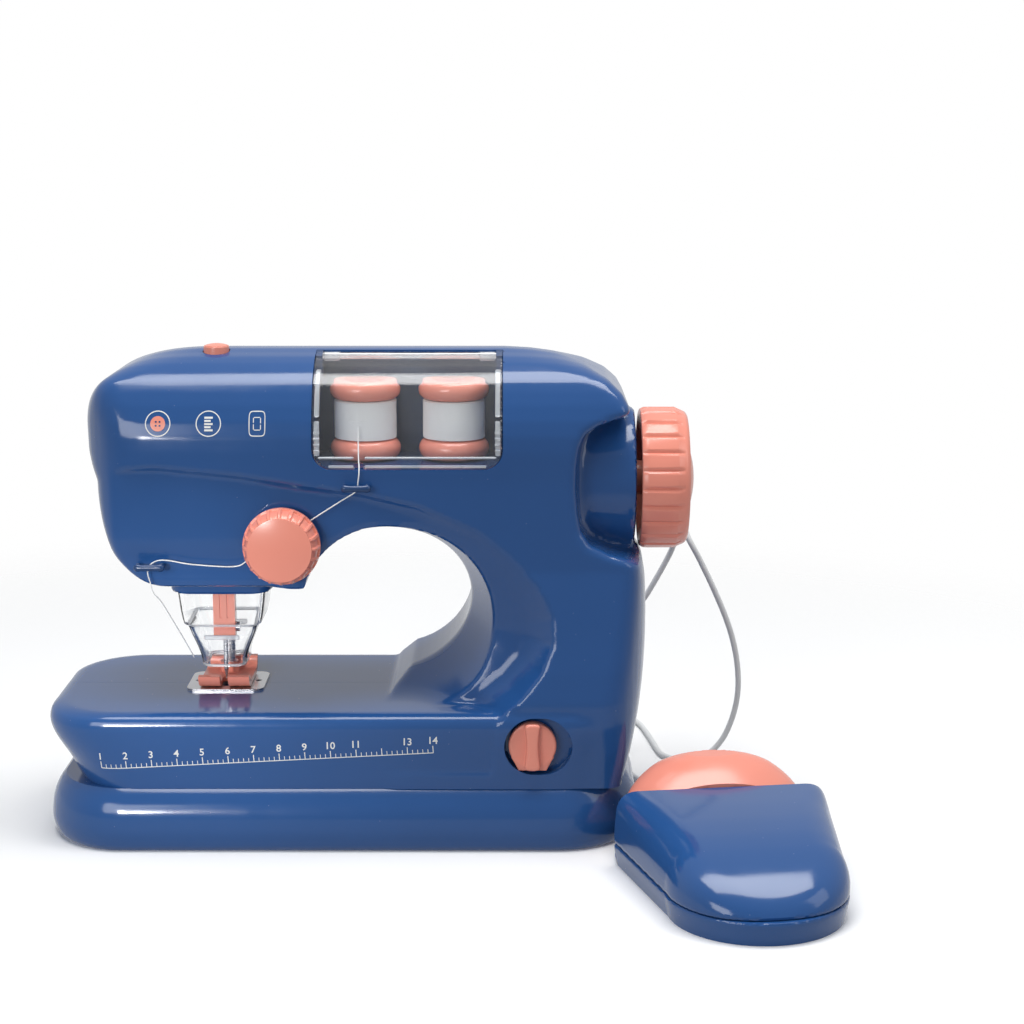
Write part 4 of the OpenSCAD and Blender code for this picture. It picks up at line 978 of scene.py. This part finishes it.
SPOOL_X = (9.75, 45.5)
SPOOL_Y, SHELF, SPOOL_H, FLANGE = -11.0, 153.8, 32.0, 8.2
SPOOL_BORE_R, SPOOL_CORE_R = 3.1, 7.4
UPPER = SPOOL_H - FLANGE


def flange_edge(middle):
    return bend((10.7, middle), (3.5, FLANGE / 2 - 0.1), -84, 84, 14)


spool_profile = (
    [(SPOOL_BORE_R, 0), (8.5, 0), (9.4, 0.25)] + flange_edge(FLANGE / 2)
    + [(9.6, FLANGE), (7.6, FLANGE), (SPOOL_CORE_R, FLANGE + 0.3),
       (SPOOL_CORE_R, UPPER - 0.3), (7.6, UPPER), (9.6, UPPER)]
    + flange_edge(SPOOL_H - FLANGE / 2)
    + [(9.0, SPOOL_H - 0.2), (8.2, SPOOL_H - 0.5), (SPOOL_CORE_R, SPOOL_H - 1.4),
       (SPOOL_BORE_R, SPOOL_H - 1.4), (SPOOL_BORE_R, 0)])


# Wound thread: one spiral of yarn on a soft core, drawn by a node tree
def winding_tree():
    """Node tree with named sizes that draws a spiral of yarn."""
    tree = bpy.data.node_groups.new("wound_thread", "GeometryNodeTree")
    face = tree.interface
    face.new_socket("Geometry", in_out="INPUT", socket_type="NodeSocketGeometry")
    sockets = {}
    for name in ("Turns", "Radius", "Height", "Yarn", "Finish"):
        kind = "NodeSocketMaterial" if name == "Finish" else "NodeSocketFloat"
        sockets[name] = face.new_socket(name, in_out="INPUT", socket_type=kind).identifier
    face.new_socket("Geometry", in_out="OUTPUT", socket_type="NodeSocketGeometry")
    add, link = tree.nodes.new, tree.links.new
    given, out = add("NodeGroupInput"), add("NodeGroupOutput")
    spiral = add("GeometryNodeCurveSpiral")
    spiral.inputs["Resolution"].default_value = 44
    ring = add("GeometryNodeCurvePrimitiveCircle")
    ring.inputs["Resolution"].default_value = 7
    sweep, smooth = add("GeometryNodeCurveToMesh"), add("GeometryNodeSetShadeSmooth")
    real, paint = add("GeometryNodeRealizeInstances"), add("GeometryNodeSetMaterial")
    sweep.inputs["Fill Caps"].default_value = True
    for name, node, socket in (
            ("Turns", spiral, "Rotations"), ("Radius", spiral, "Start Radius"),
            ("Radius", spiral, "End Radius"), ("Height", spiral, "Height"),
            ("Yarn", ring, "Radius"), ("Finish", paint, "Material")):
        link(given.outputs[name], node.inputs[socket])
    for before, after, socket in (
            (spiral, sweep, "Curve"), (ring, sweep, "Profile Curve"),
            (sweep, smooth, "Geometry"), (smooth, real, "Geometry"),
            (real, paint, "Geometry"), (paint, out, "Geometry")):
        link(before.outputs[0], after.inputs[socket])
    return tree, sockets


def drawn_by(tree, settings, name):
    """Mesh that a node tree draws, as a plain object."""
    host = bpy.data.objects.new(name + "_host", bpy.data.meshes.new(name + "_host"))
    scene.collection.objects.link(host)
    tool = host.modifiers.new("draw", "NODES")
    tool.node_group = tree
    for key, value in settings.items():
        tool[key] = value
    bpy.context.view_layer.update()
    seen = host.evaluated_get(bpy.context.evaluated_depsgraph_get())
    mesh = bpy.data.meshes.new_from_object(seen)
    mesh.name = name
    bpy.data.objects.remove(host)
    obj = bpy.data.objects.new(name, mesh)
    scene.collection.objects.link(obj)
    return obj


def moved(obj, place):
    """The mesh moved to a place in millimetres."""
    obj.data.transform(Matrix.Translation(Vector(place) * MM))
    return obj


def joined(name, parts, slot):
    """One piece of several parts, all in one finish."""
    work = bmesh.new()
    for part in parts:
        work.from_mesh(part.data)
    mesh = bpy.data.meshes.new(name)
    work.to_mesh(mesh)
    work.free()
    for part in parts:
        bpy.data.objects.remove(part)
    obj = bpy.data.objects.new(name, mesh)
    scene.collection.objects.link(obj)
    return dress(obj, slot)


TURNS, YARN_R, WOUND_R = 34.0, 0.3, 12.25
CORE_IN, CORE_R, CORE_GAP, LAY_GAP = 7.5, 12.0, 0.15, 0.4
WOUND_H = SPOOL_H - 2 * FLANGE
core_profile = (
    [(CORE_IN, CORE_GAP), (CORE_R, CORE_GAP)]
    + bend((CORE_R, WOUND_H / 2), (0.35, WOUND_H / 2 - CORE_GAP), -80, 80, 8)
    + [(CORE_R, WOUND_H - CORE_GAP), (CORE_IN, WOUND_H - CORE_GAP), (CORE_IN, CORE_GAP)])
wound, wound_inputs = winding_tree()
lay_sizes = {"Turns": TURNS, "Radius": WOUND_R * MM, "Height": (WOUND_H - 2 * LAY_GAP) * MM,
             "Yarn": YARN_R * MM, "Finish": finishes["thread"].material}
lay_settings = {wound_inputs[name]: value for name, value in lay_sizes.items()}
for side, x in zip(("left", "right"), SPOOL_X):
    reel = turned(side + "_spool_skin", (x, SPOOL_Y, SHELF), (0, 0, 1), spool_profile,
                  "salmon_plastic")
    worn_by(reel, side + "_spool", side + "_spool")
    core = turned(side + "_core", (x, SPOOL_Y, SHELF + FLANGE), (0, 0, 1), core_profile,
                  "thread", 64)
    lay = drawn_by(wound, lay_settings, side + "_lay")
    moved(lay, (x, SPOOL_Y, SHELF + FLANGE + LAY_GAP))
    wound_piece = joined(side + "_thread_wound", [core, lay], "thread")
    worn_by(wound_piece, side + "_spool", side + "_thread")

THREAD = 0.5
thread_way = [
    (7.6, -24.1, 168), (7.8, -27.2, 161.5), (8.2, -32, 156.4), (8.6, -36, 154.6),
    (8.8, -38.6, 153.8), (8.8, -40, 151.6), (8.4, -40.4, 148.5), (7.6, -40.3, 145),
    (2, -40, 141.3), (-8, -39.2, 134.8), (-15, -38.5, 130), (-19, -38.4, 128),
    (-22.4, -38.4, 127.4), (-26, -38.4, 126), (-31, -38.4, 121.6), (-36.5, -38.4, 116.4),
    (-42, -38.2, 114.2), (-58, -37.8, 115), (-67.5, -37.4, 116.5), (-72, -37.4, 116.4),
    (-75, -37.4, 114.6), (-76, -37.4, 111.6), (-75.2, -36.9, 107.6), (-74, -36.5, 103),
    (-71.6, -32.4, 98.2), (-66.6, -22.6, 84), (-63, -15.6, 73.4), (-62.2, -13.6, 70.6)]
thread_line = line_piece("upper_thread_line", smooth_way(thread_way, 1.2), THREAD, "thread", 2)
worn_by(thread_line, "machine", "upper_thread")


# Switch knob with its grip bar, and the two thread guides
POWER_X, POWER_BACK = 77.2, -43.9


def knob_field(x, y, z):
    """Disc with a flared foot and a waisted grip bar across it."""
    u, w = x - POWER_X, z - RECESS_AT[1]
    disc = round_max(np.hypot(u, w) - 9.6, slab(y, -48.1, POWER_BACK), 1.0)
    foot = np.maximum(np.abs(u) - 5.6 - (w + 10.4) * 0.5, slab(w, -10.4, -5))
    foot = round_max(foot, slab(y, -48.0, POWER_BACK), 0.8)
    grip = np.abs(u) - read_curve((-10.4, -7, 0, 6, 9), (3.4, 2.9, 2.3, 2.7, 3.2), w)
    grip = round_max(grip, np.hypot(u, w) - 9.5, 1.0)
    grip = round_max(grip, slab(y, -51.2 + 0.05 * w, -46), 1.2)
    return round_min(round_min(disc, foot, 0.8), grip, 0.7)


power_shape = net([knob_field], (66, -53, 31), (88, -43, 54), 0.42)
power_skin = skin_piece("power_knob_skin", *power_shape, "salmon_plastic")
worn_by(power_skin, "power_knob", "power_knob")


GUIDES = {"upper_thread_guide": (2, 13.4, -36.4, -42.6, 146.4),
          "lower_thread_guide": (-81, -69, -34.8, -39.8, 114)}


def loop_field(x0, x1, y0, y1, z0):
    """Hoop of a thread guide: a round bar in front on two legs."""
    half = (x1 - x0) / 2

    def field(x, y, z):
        off = np.abs(x - (x0 + x1) / 2)
        front = np.hypot(y - y1, (z - z0) * 0.95)
        bar = np.hypot(np.maximum(off - half + 1.3, 0), front) - 1.25
        legs = box_field(off, z, (half - 2.2, z0 - 1.05), (half - 0.2, z0 + 1.05), 0.8)
        return round_min(bar, np.maximum(legs, slab(y, y1, y0)), 1.2)
    return field


for name, reach in GUIDES.items():
    x0, x1, y0, y1, z0 = reach
    hoop_shape = net([loop_field(*reach)],
                     (x0 - 1, y1 - 2, z0 - 2), (x1 + 1, y0 + 0.5, z0 + 2), 0.4)
    hoop = skin_piece(name + "_skin", *hoop_shape, "dark_blue_plastic")
    worn_by(hoop, "machine", name)


# Prints on the casing: three pictograms on the head and the ruler on the bed
INK, INK_ROOT = 0.1, -0.05
INK_CREASE = 60


def on_casing(x, z, lift):
    """Points on the casing's front at (x, z), moved outwards by lift."""
    x, z = np.array(x, float), np.array(z, float)
    y = np.full(len(x), -52.0)
    for _ in range(40):
        y = y + np.clip(casing_field(x, y, z) * 0.9, -4, 4)
    return np.c_[x, y - lift, z]


def printed(name, outlines, slot, lift=INK):
    """Thin ink patches, each a strip between a left and a right line of (x, z) points."""
    points, faces = [], []
    for left, right in outlines:
        n = len(left)
        both = np.vstack([left, right])
        base = len(points)
        for depth in (lift, INK_ROOT):
            points.extend(on_casing(both[:, 0], both[:, 1], depth).tolist())
        for i in range(n - 1):
            a, b, c, d = base + i, base + i + 1, base + n + i + 1, base + n + i
            low = 2 * n
            faces += [(a, b, c, d), (a + low, d + low, c + low, b + low),
                      (a, a + low, b + low, b), (d, c, c + low, d + low)]
        if not np.allclose(left[0], left[-1]):
            for i, flip in ((0, False), (n - 1, True)):
                ring = (base + i, base + n + i, base + 3 * n + i, base + 2 * n + i)
                faces.append(ring[::-1] if flip else ring)
    worn_by(skin_piece(name, points, faces, slot, INK_CREASE), "machine", slot=slot)


def ring_strip(x, z, r, width, squash=1.0, corner=None):
    """Ring of a line width, or a tall frame with round corners."""
    turn = np.radians(np.linspace(0, 360, 49))

    def at(reach):
        if corner is None:
            return np.c_[x + reach * np.cos(turn), z + reach * np.sin(turn)]
        c, s = np.cos(turn), np.sin(turn)
        k = 1 / (np.abs(c) ** corner + np.abs(s / squash) ** corner) ** (1 / corner)
        return np.c_[x + (reach - r) * c + r * k * c, z + (reach - r) * s + r * k * s]
    return at(r - width / 2), at(r + width / 2)


def bar(a, b, width):
    """Straight strip from a to b."""
    a, b = np.array(a, float), np.array(b, float)
    n = max(2, int(np.linalg.norm(b - a) / 1.5))
    line = a + (b - a) * np.linspace(0, 1, n)[:, None]
    off = (b - a) / np.linalg.norm(b - a) * width / 2
    off = np.array([-off[1], off[0]])
    return line + off, line - off


def disc(x, z, r):
    return ring_strip(x, z, r / 2 + 0.02, r)


MARK_Z = 171.3
MARK_X = (-70.2, -50.3, -31.2)
RING_R, RING_LINE = 4.8, 0.4
cream = [ring_strip(x, MARK_Z, RING_R, RING_LINE) for x in MARK_X[:2]]
cream.append(ring_strip(MARK_X[2], MARK_Z, 3.1, RING_LINE, 1.52, 6))
for i in range(5):
    level = MARK_Z - 2.9 + 1.2 * i + 0.4
    end = MARK_X[1] + (0.9 if i % 2 else 1.7)
    cream.append(bar((MARK_X[1] - 1.6, level), (end, level), 0.75))
for ends in (((-1.2, 2.4), (1.2, 2.4)), ((-1.2, -2.4), (1.2, -2.4)),
             ((-1.4, 2.2), (-1.4, 0.4)), ((1.4, -2.2), (1.4, -0.4)),
             ((-1.4, -0.2), (-1.4, -2.2)), ((1.4, 0.2), (1.4, 2.2))):
    cream.append(bar(*((MARK_X[2] + x, MARK_Z + z) for x, z in ends), 0.32))
HOLE_OFF = (-0.75, 0.75)
holes = [disc(MARK_X[0] + i, MARK_Z + j, 0.36) for i in HOLE_OFF for j in HOLE_OFF]
printed("head_marks_cream", cream, "white_plastic")
printed("head_mark_button", [disc(MARK_X[0], MARK_Z, 2.9)], "salmon_plastic")
printed("head_mark_holes", holes, "dark_blue_plastic", 0.16)

# Ruler: a line with ticks every two millimetres, longer at each number
RULER = ((-95.4, 33.4), (37.6, 40.6))
CENTIMETRES, TICKS = 13, 5
first, last = np.array(RULER[0]), np.array(RULER[1])
along = (last - first) / CENTIMETRES
up = np.array([-along[1], along[0]]) / np.linalg.norm(along)
ruler = [bar(first, last, 0.32)]
for i in range(CENTIMETRES * TICKS + 1):
    foot = first + along * (i / TICKS)
    high, width = (1.7, 0.26) if i % TICKS else (3.0, 0.34)
    ruler.append(bar(foot, foot + up * high, width))
printed("bed_ruler", ruler, "white_plastic")


NUMBERS = [n for n in range(1, 15) if n != 12]
NUMBER_SIZE, NUMBER_UP = 4.2, 3.9


def numeral(text, x, z, size):
    """Points and triangles of a number that stands at (x, z)."""
    curve = bpy.data.curves.new("numeral", "FONT")
    curve.body = text
    curve.align_x = "CENTER"
    curve.size = size
    curve.offset = 0.012 * size
    curve.resolution_u = 3
    host = bpy.data.objects.new("numeral", curve)
    scene.collection.objects.link(host)
    bpy.context.view_layer.update()
    seen = host.evaluated_get(bpy.context.evaluated_depsgraph_get())
    mesh = bpy.data.meshes.new_from_object(seen)
    bpy.data.objects.remove(host)
    flat = np.array([v.co[:2] for v in mesh.vertices]) + (x, z)
    return flat, [tuple(p.vertices) for p in mesh.polygons]


points, faces = [], []
for number in NUMBERS:
    at = first + along * (number - 1) + up * NUMBER_UP
    flat, shapes = numeral(str(number), at[0], at[1], NUMBER_SIZE)
    front, back = len(points), len(points) + len(flat)
    for depth in (INK, INK_ROOT):
        points.extend(on_casing(flat[:, 0], flat[:, 1], depth).tolist())
    edges = {edge for shape in shapes for edge in zip(shape, shape[1:] + shape[:1])}
    faces.extend(tuple(v + front for v in shape) for shape in shapes)
    faces.extend(tuple(v + back for v in shape[::-1]) for shape in shapes)
    for a, b in sorted(edges):
        if (b, a) not in edges:
            faces += [(b + front, a + front, a + back), (b + front, a + back, b + back)]
worn_by(skin_piece("bed_numerals", points, faces, "white_plastic", INK_CREASE), "machine")


# Clear cover of the spool window and stepped needle guard, with their moulded edges
def frosted(name, tint, share):
    """Clear moulding for the cut edges, with a whitish painted highlight mixed in patches."""
    f = see_through(name, tint, 0.12)
    p = f.place()
    # Painted highlight: a pale whitish shader, mixed in where the noise is high, gives the clear
    # edges their bright look
    painted_highlight = f.node("ShaderNodeBsdfPrincipled", sockets={
        "Base Color": (0.86, 0.9, 0.93, 1), "Roughness": 0.25 + f.noise(p, 140, 3) * 0.1})
    glass = Wire(f, f.output.inputs[0].links[0].from_socket)
    f.blend(f.between(f.noise(p, 60, 2), share * 0.7, share * 1.3), glass, painted_highlight)
    return f


# The edge bands and rims of the clear parts get this finish with its painted highlight
finishes["clear_edge"] = frosted("clear_moulding_edge", (0.97, 0.98, 0.99, 1), 0.3)
HINGE, KNUCKLE_R = (-9.0, 194.2), 2.2
COVER_GAP, COVER_WALL = 0.4, 1.7
RAIL_Z = (157.8, 154.3)
BAR_Z, BAR_PITCH = 160.4, 2.4
NOTCH_X = 8.7


def cover_shell(x, y, z):
    """Curved sheet that carries on the casing's side view."""
    return slab(side_view(y, z) + 0.35, -COVER_WALL, 0)


def cover_outline(x, y, z):
    opening = box_field(x, z, (WINDOW_X[0] + COVER_GAP, WINDOW_Z[0] + COVER_GAP),
                        (WINDOW_X[1] - COVER_GAP, WINDOW_Z[1]), WINDOW_CORNER - COVER_GAP)
    return np.maximum(opening, y - HINGE[0])


def thread_notch(x, y, z):
    """All but the notch that lets the thread out."""
    return -np.maximum(box_field(x, z, (7, 140), (10.4, 155.8), 0.6), y)


cover_shape = net([cover_shell, cover_outline, thread_notch], (-11, -40, 152), (67, -8, 199), 0.9)
cover_skin = skin_piece("spool_cover_skin", *cover_shape, "clear_plastic")
worn_by(cover_skin, "spool_cover", "spool_cover")


def edge_bands(x, y, z):
    """Side bands with short grip bars, hinge knuckles and two rails at the foot."""
    side = np.minimum(x - WINDOW_X[0], WINDOW_X[1] - x)
    out = side_view(y, z) + 0.9
    proud = slab(out, -1.0, 0.7)
    band = np.maximum(slab(side, 1.0, 3.0), slab(out, -2.6, 0))
    band = np.maximum(band, slab(z, 158.5, 190))
    band = np.maximum(band, -(np.abs(z - 172.6) - 0.8))
    rise = z - BAR_Z
    bars = np.abs(rise - BAR_PITCH * np.clip(np.round(rise / BAR_PITCH), 0, 3)) - 0.45
    bars = np.maximum(bars, np.maximum(slab(side, 0.8, 3.2), proud))
    knuckle = np.maximum(rod(y, z, HINGE, KNUCKLE_R), slab(side, 3.2, 9.5))
    rails = np.minimum(np.maximum(np.abs(z - RAIL_Z[0]) - 0.42, 2.6 - side),
                       np.maximum(np.abs(z - RAIL_Z[1]) - 0.5, 6.5 - side))
    rails = np.maximum(np.maximum(rails, 2.2 - np.abs(x - NOTCH_X)), proud)
    return np.minimum.reduce([band, bars, knuckle, rails])


edge_shape = net([edge_bands], (-11, -42, 152), (67, -5, 199), 0.55)
# The side bands and rails carry the painted highlight of the clear edge finish
edge_skin = skin_piece("spool_cover_edges", *edge_shape, "clear_edge")
worn_by(edge_skin, "spool_cover", slot="clear_plastic")

GUARD_LOW, GUARD_HIGH = (-70, -19, 65), (-30, 19, 105)
GUARD_CORNER, GUARD_WALL = 5, 1.5


def guard_field(x, y, z):
    """Outside of the guard, which widens upwards in two steps."""
    levels = (65.4, 66.2, 70, 80, 84, 84.6, 97.6, 98.4, 104)
    left, right, deep = (read_curve(levels, v, z) for v in (
        (-58.9, -59.4, -60.0, -63.4, -65.0, -66.2, -68.2, -68.3, -68.3),
        (-41.9, -41.4, -40.9, -37.2, -35.6, -34.4, -32.3, -32.2, -32.2),
        (11.6, 12.0, 12.4, 14.6, 15.6, 16.2, 17.2, 17.3, 17.3)))
    return box_field(x, y, (left, -deep), (right, deep), GUARD_CORNER)


def guard_rims_field(x, y, z):
    """Rims at the guard's foot and step, and the short bar on its front."""
    rims = np.minimum(np.abs(z - 66.6) - 0.5, np.abs(z - 84.3) - 0.55)
    front_bar = np.maximum(np.abs(x + 50.5) - 7.2, np.abs(z - 79) - 1.0)
    skin = np.abs(guard_field(x, y, z) + 0.5) - 0.65
    return np.maximum(skin, np.minimum(rims, front_bar))


guard_shape = net([guard_field, lambda x, y, z: -(guard_field(x, y, z) + GUARD_WALL),
                   lambda x, y, z: 66 - z, lambda x, y, z: z - 103.8],
                  GUARD_LOW, GUARD_HIGH, 0.75)
guard_skin = skin_piece("needle_guard_skin", *guard_shape, "clear_plastic")
worn_by(guard_skin, "machine", "needle_guard")
rims_shape = net([guard_rims_field], GUARD_LOW, GUARD_HIGH, 0.5)
# The guard's rims carry the painted highlight of the clear edge finish
guard_rims = skin_piece("needle_guard_rims", *rims_shape, "clear_edge")
worn_by(guard_rims, "machine", slot="clear_plastic")


# Floor, world and lamps
class Room(Finish):
    """The world's own nodes, made as a finish is."""

    def __init__(self, name):
        world = bpy.data.worlds.new(name)
        world.use_nodes = True
        scene.world = world
        self.tree = world.node_tree
        self.tree.nodes.clear()
        self.output = self.tree.nodes.new("ShaderNodeOutputWorld")


WORLD_TINT = (0.92, 0.96, 1.0, 1)
WORLD_STRENGTH = 0.26
room = Room("studio")
way = room.node("ShaderNodeTexCoord", out="Generated")
back_share = room.node("ShaderNodeMapRange", sockets={
    "Value": room.node("ShaderNodeSeparateXYZ", sockets={0: way}, out="Y"),
    "From Min": -0.75, "From Max": 0.1, "To Min": 0.12, "To Max": 0.6})
mirrored = room.node("ShaderNodeLightPath", out="Is Glossy Ray") * back_share
room.blend(
    room.rays("Is Camera Ray", "Is Transmission Ray").atleast(mirrored),
    room.node("ShaderNodeBackground", sockets={"Color": WORLD_TINT, "Strength": WORLD_STRENGTH}),
    room.node("ShaderNodeBackground", sockets={"Color": (1, 1, 1, 1), "Strength": 1.0}))


def aimed(name, light, place, target):
    """The light is put in its place and looks at its target."""
    obj = bpy.data.objects.new(name, light)
    obj.location = place
    look = Vector(target) - Vector(place)
    obj.rotation_euler = look.to_track_quat("-Z", "Y").to_euler()
    scene.collection.objects.link(obj)


PANELS = (
    ("ceiling_panel", (0.1, -0.1, 1.5), (0.05, 0, 0.1), (1.3, 0.7), 21),
    ("front_panel", (-0.55, -1.1, 0.42), (-0.05, 0, 0.08), (0.6, 0.4), 3.8),
    ("side_panel", (1.2, -0.5, 0.9), (0.1, 0, 0.1), (0.5, 0.8), 2.0))
for name, place, target, size, watts in PANELS:
    panel = bpy.data.lights.new(name, "AREA")
    panel.shape = "RECTANGLE"
    panel.size, panel.size_y = size
    panel.energy = watts
    aimed(name, panel, place, target)

beam = bpy.data.lights.new("needle_spot", "SPOT")
beam.energy = 14
beam.spot_size = math.radians(13)
beam.spot_blend = 1.0
beam.shadow_soft_size = 0.05
aimed("needle_spot", beam, (-0.25, -0.8, 0.2), (-0.052, 0, 0.068))

FLOOR_HALF = 6
FADE_FROM, FADE_TO = 0.3, 0.62
BOUNCE_LOSS = 0.6
paper = Finish("studio_floor")
indirect = paper.rays("Is Diffuse Ray", "Is Glossy Ray")
spot = paper.place()
away = paper.node("ShaderNodeVectorMath", {"operation": "LENGTH"}, {0: spot}, out="Value")
faded = paper.node("ShaderNodeMapRange", {"clamp": True, "interpolation_type": "SMOOTHSTEP"},
                   {0: away, 1: FADE_FROM, 2: FADE_TO})
pale = paper.mix(paper.noise(spot, 3, 2), (0.95, 0.95, 0.95, 1), (0.98, 0.98, 0.98, 1))
paper.set(Base_Color=pale, Roughness=0.85, Alpha=(1 - indirect * BOUNCE_LOSS) * (1 - faded))
floor_mesh = bpy.data.meshes.new("floor")
corners = [(x * FLOOR_HALF, y * FLOOR_HALF, 0) for x, y in ((-1, -1), (1, -1), (1, 1), (-1, 1))]
floor_mesh.from_pydata(corners, [], [(0, 1, 2, 3)])
floor_mesh.materials.append(paper.material)
floor = bpy.data.objects.new("floor", floor_mesh)
scene.collection.objects.link(floor)
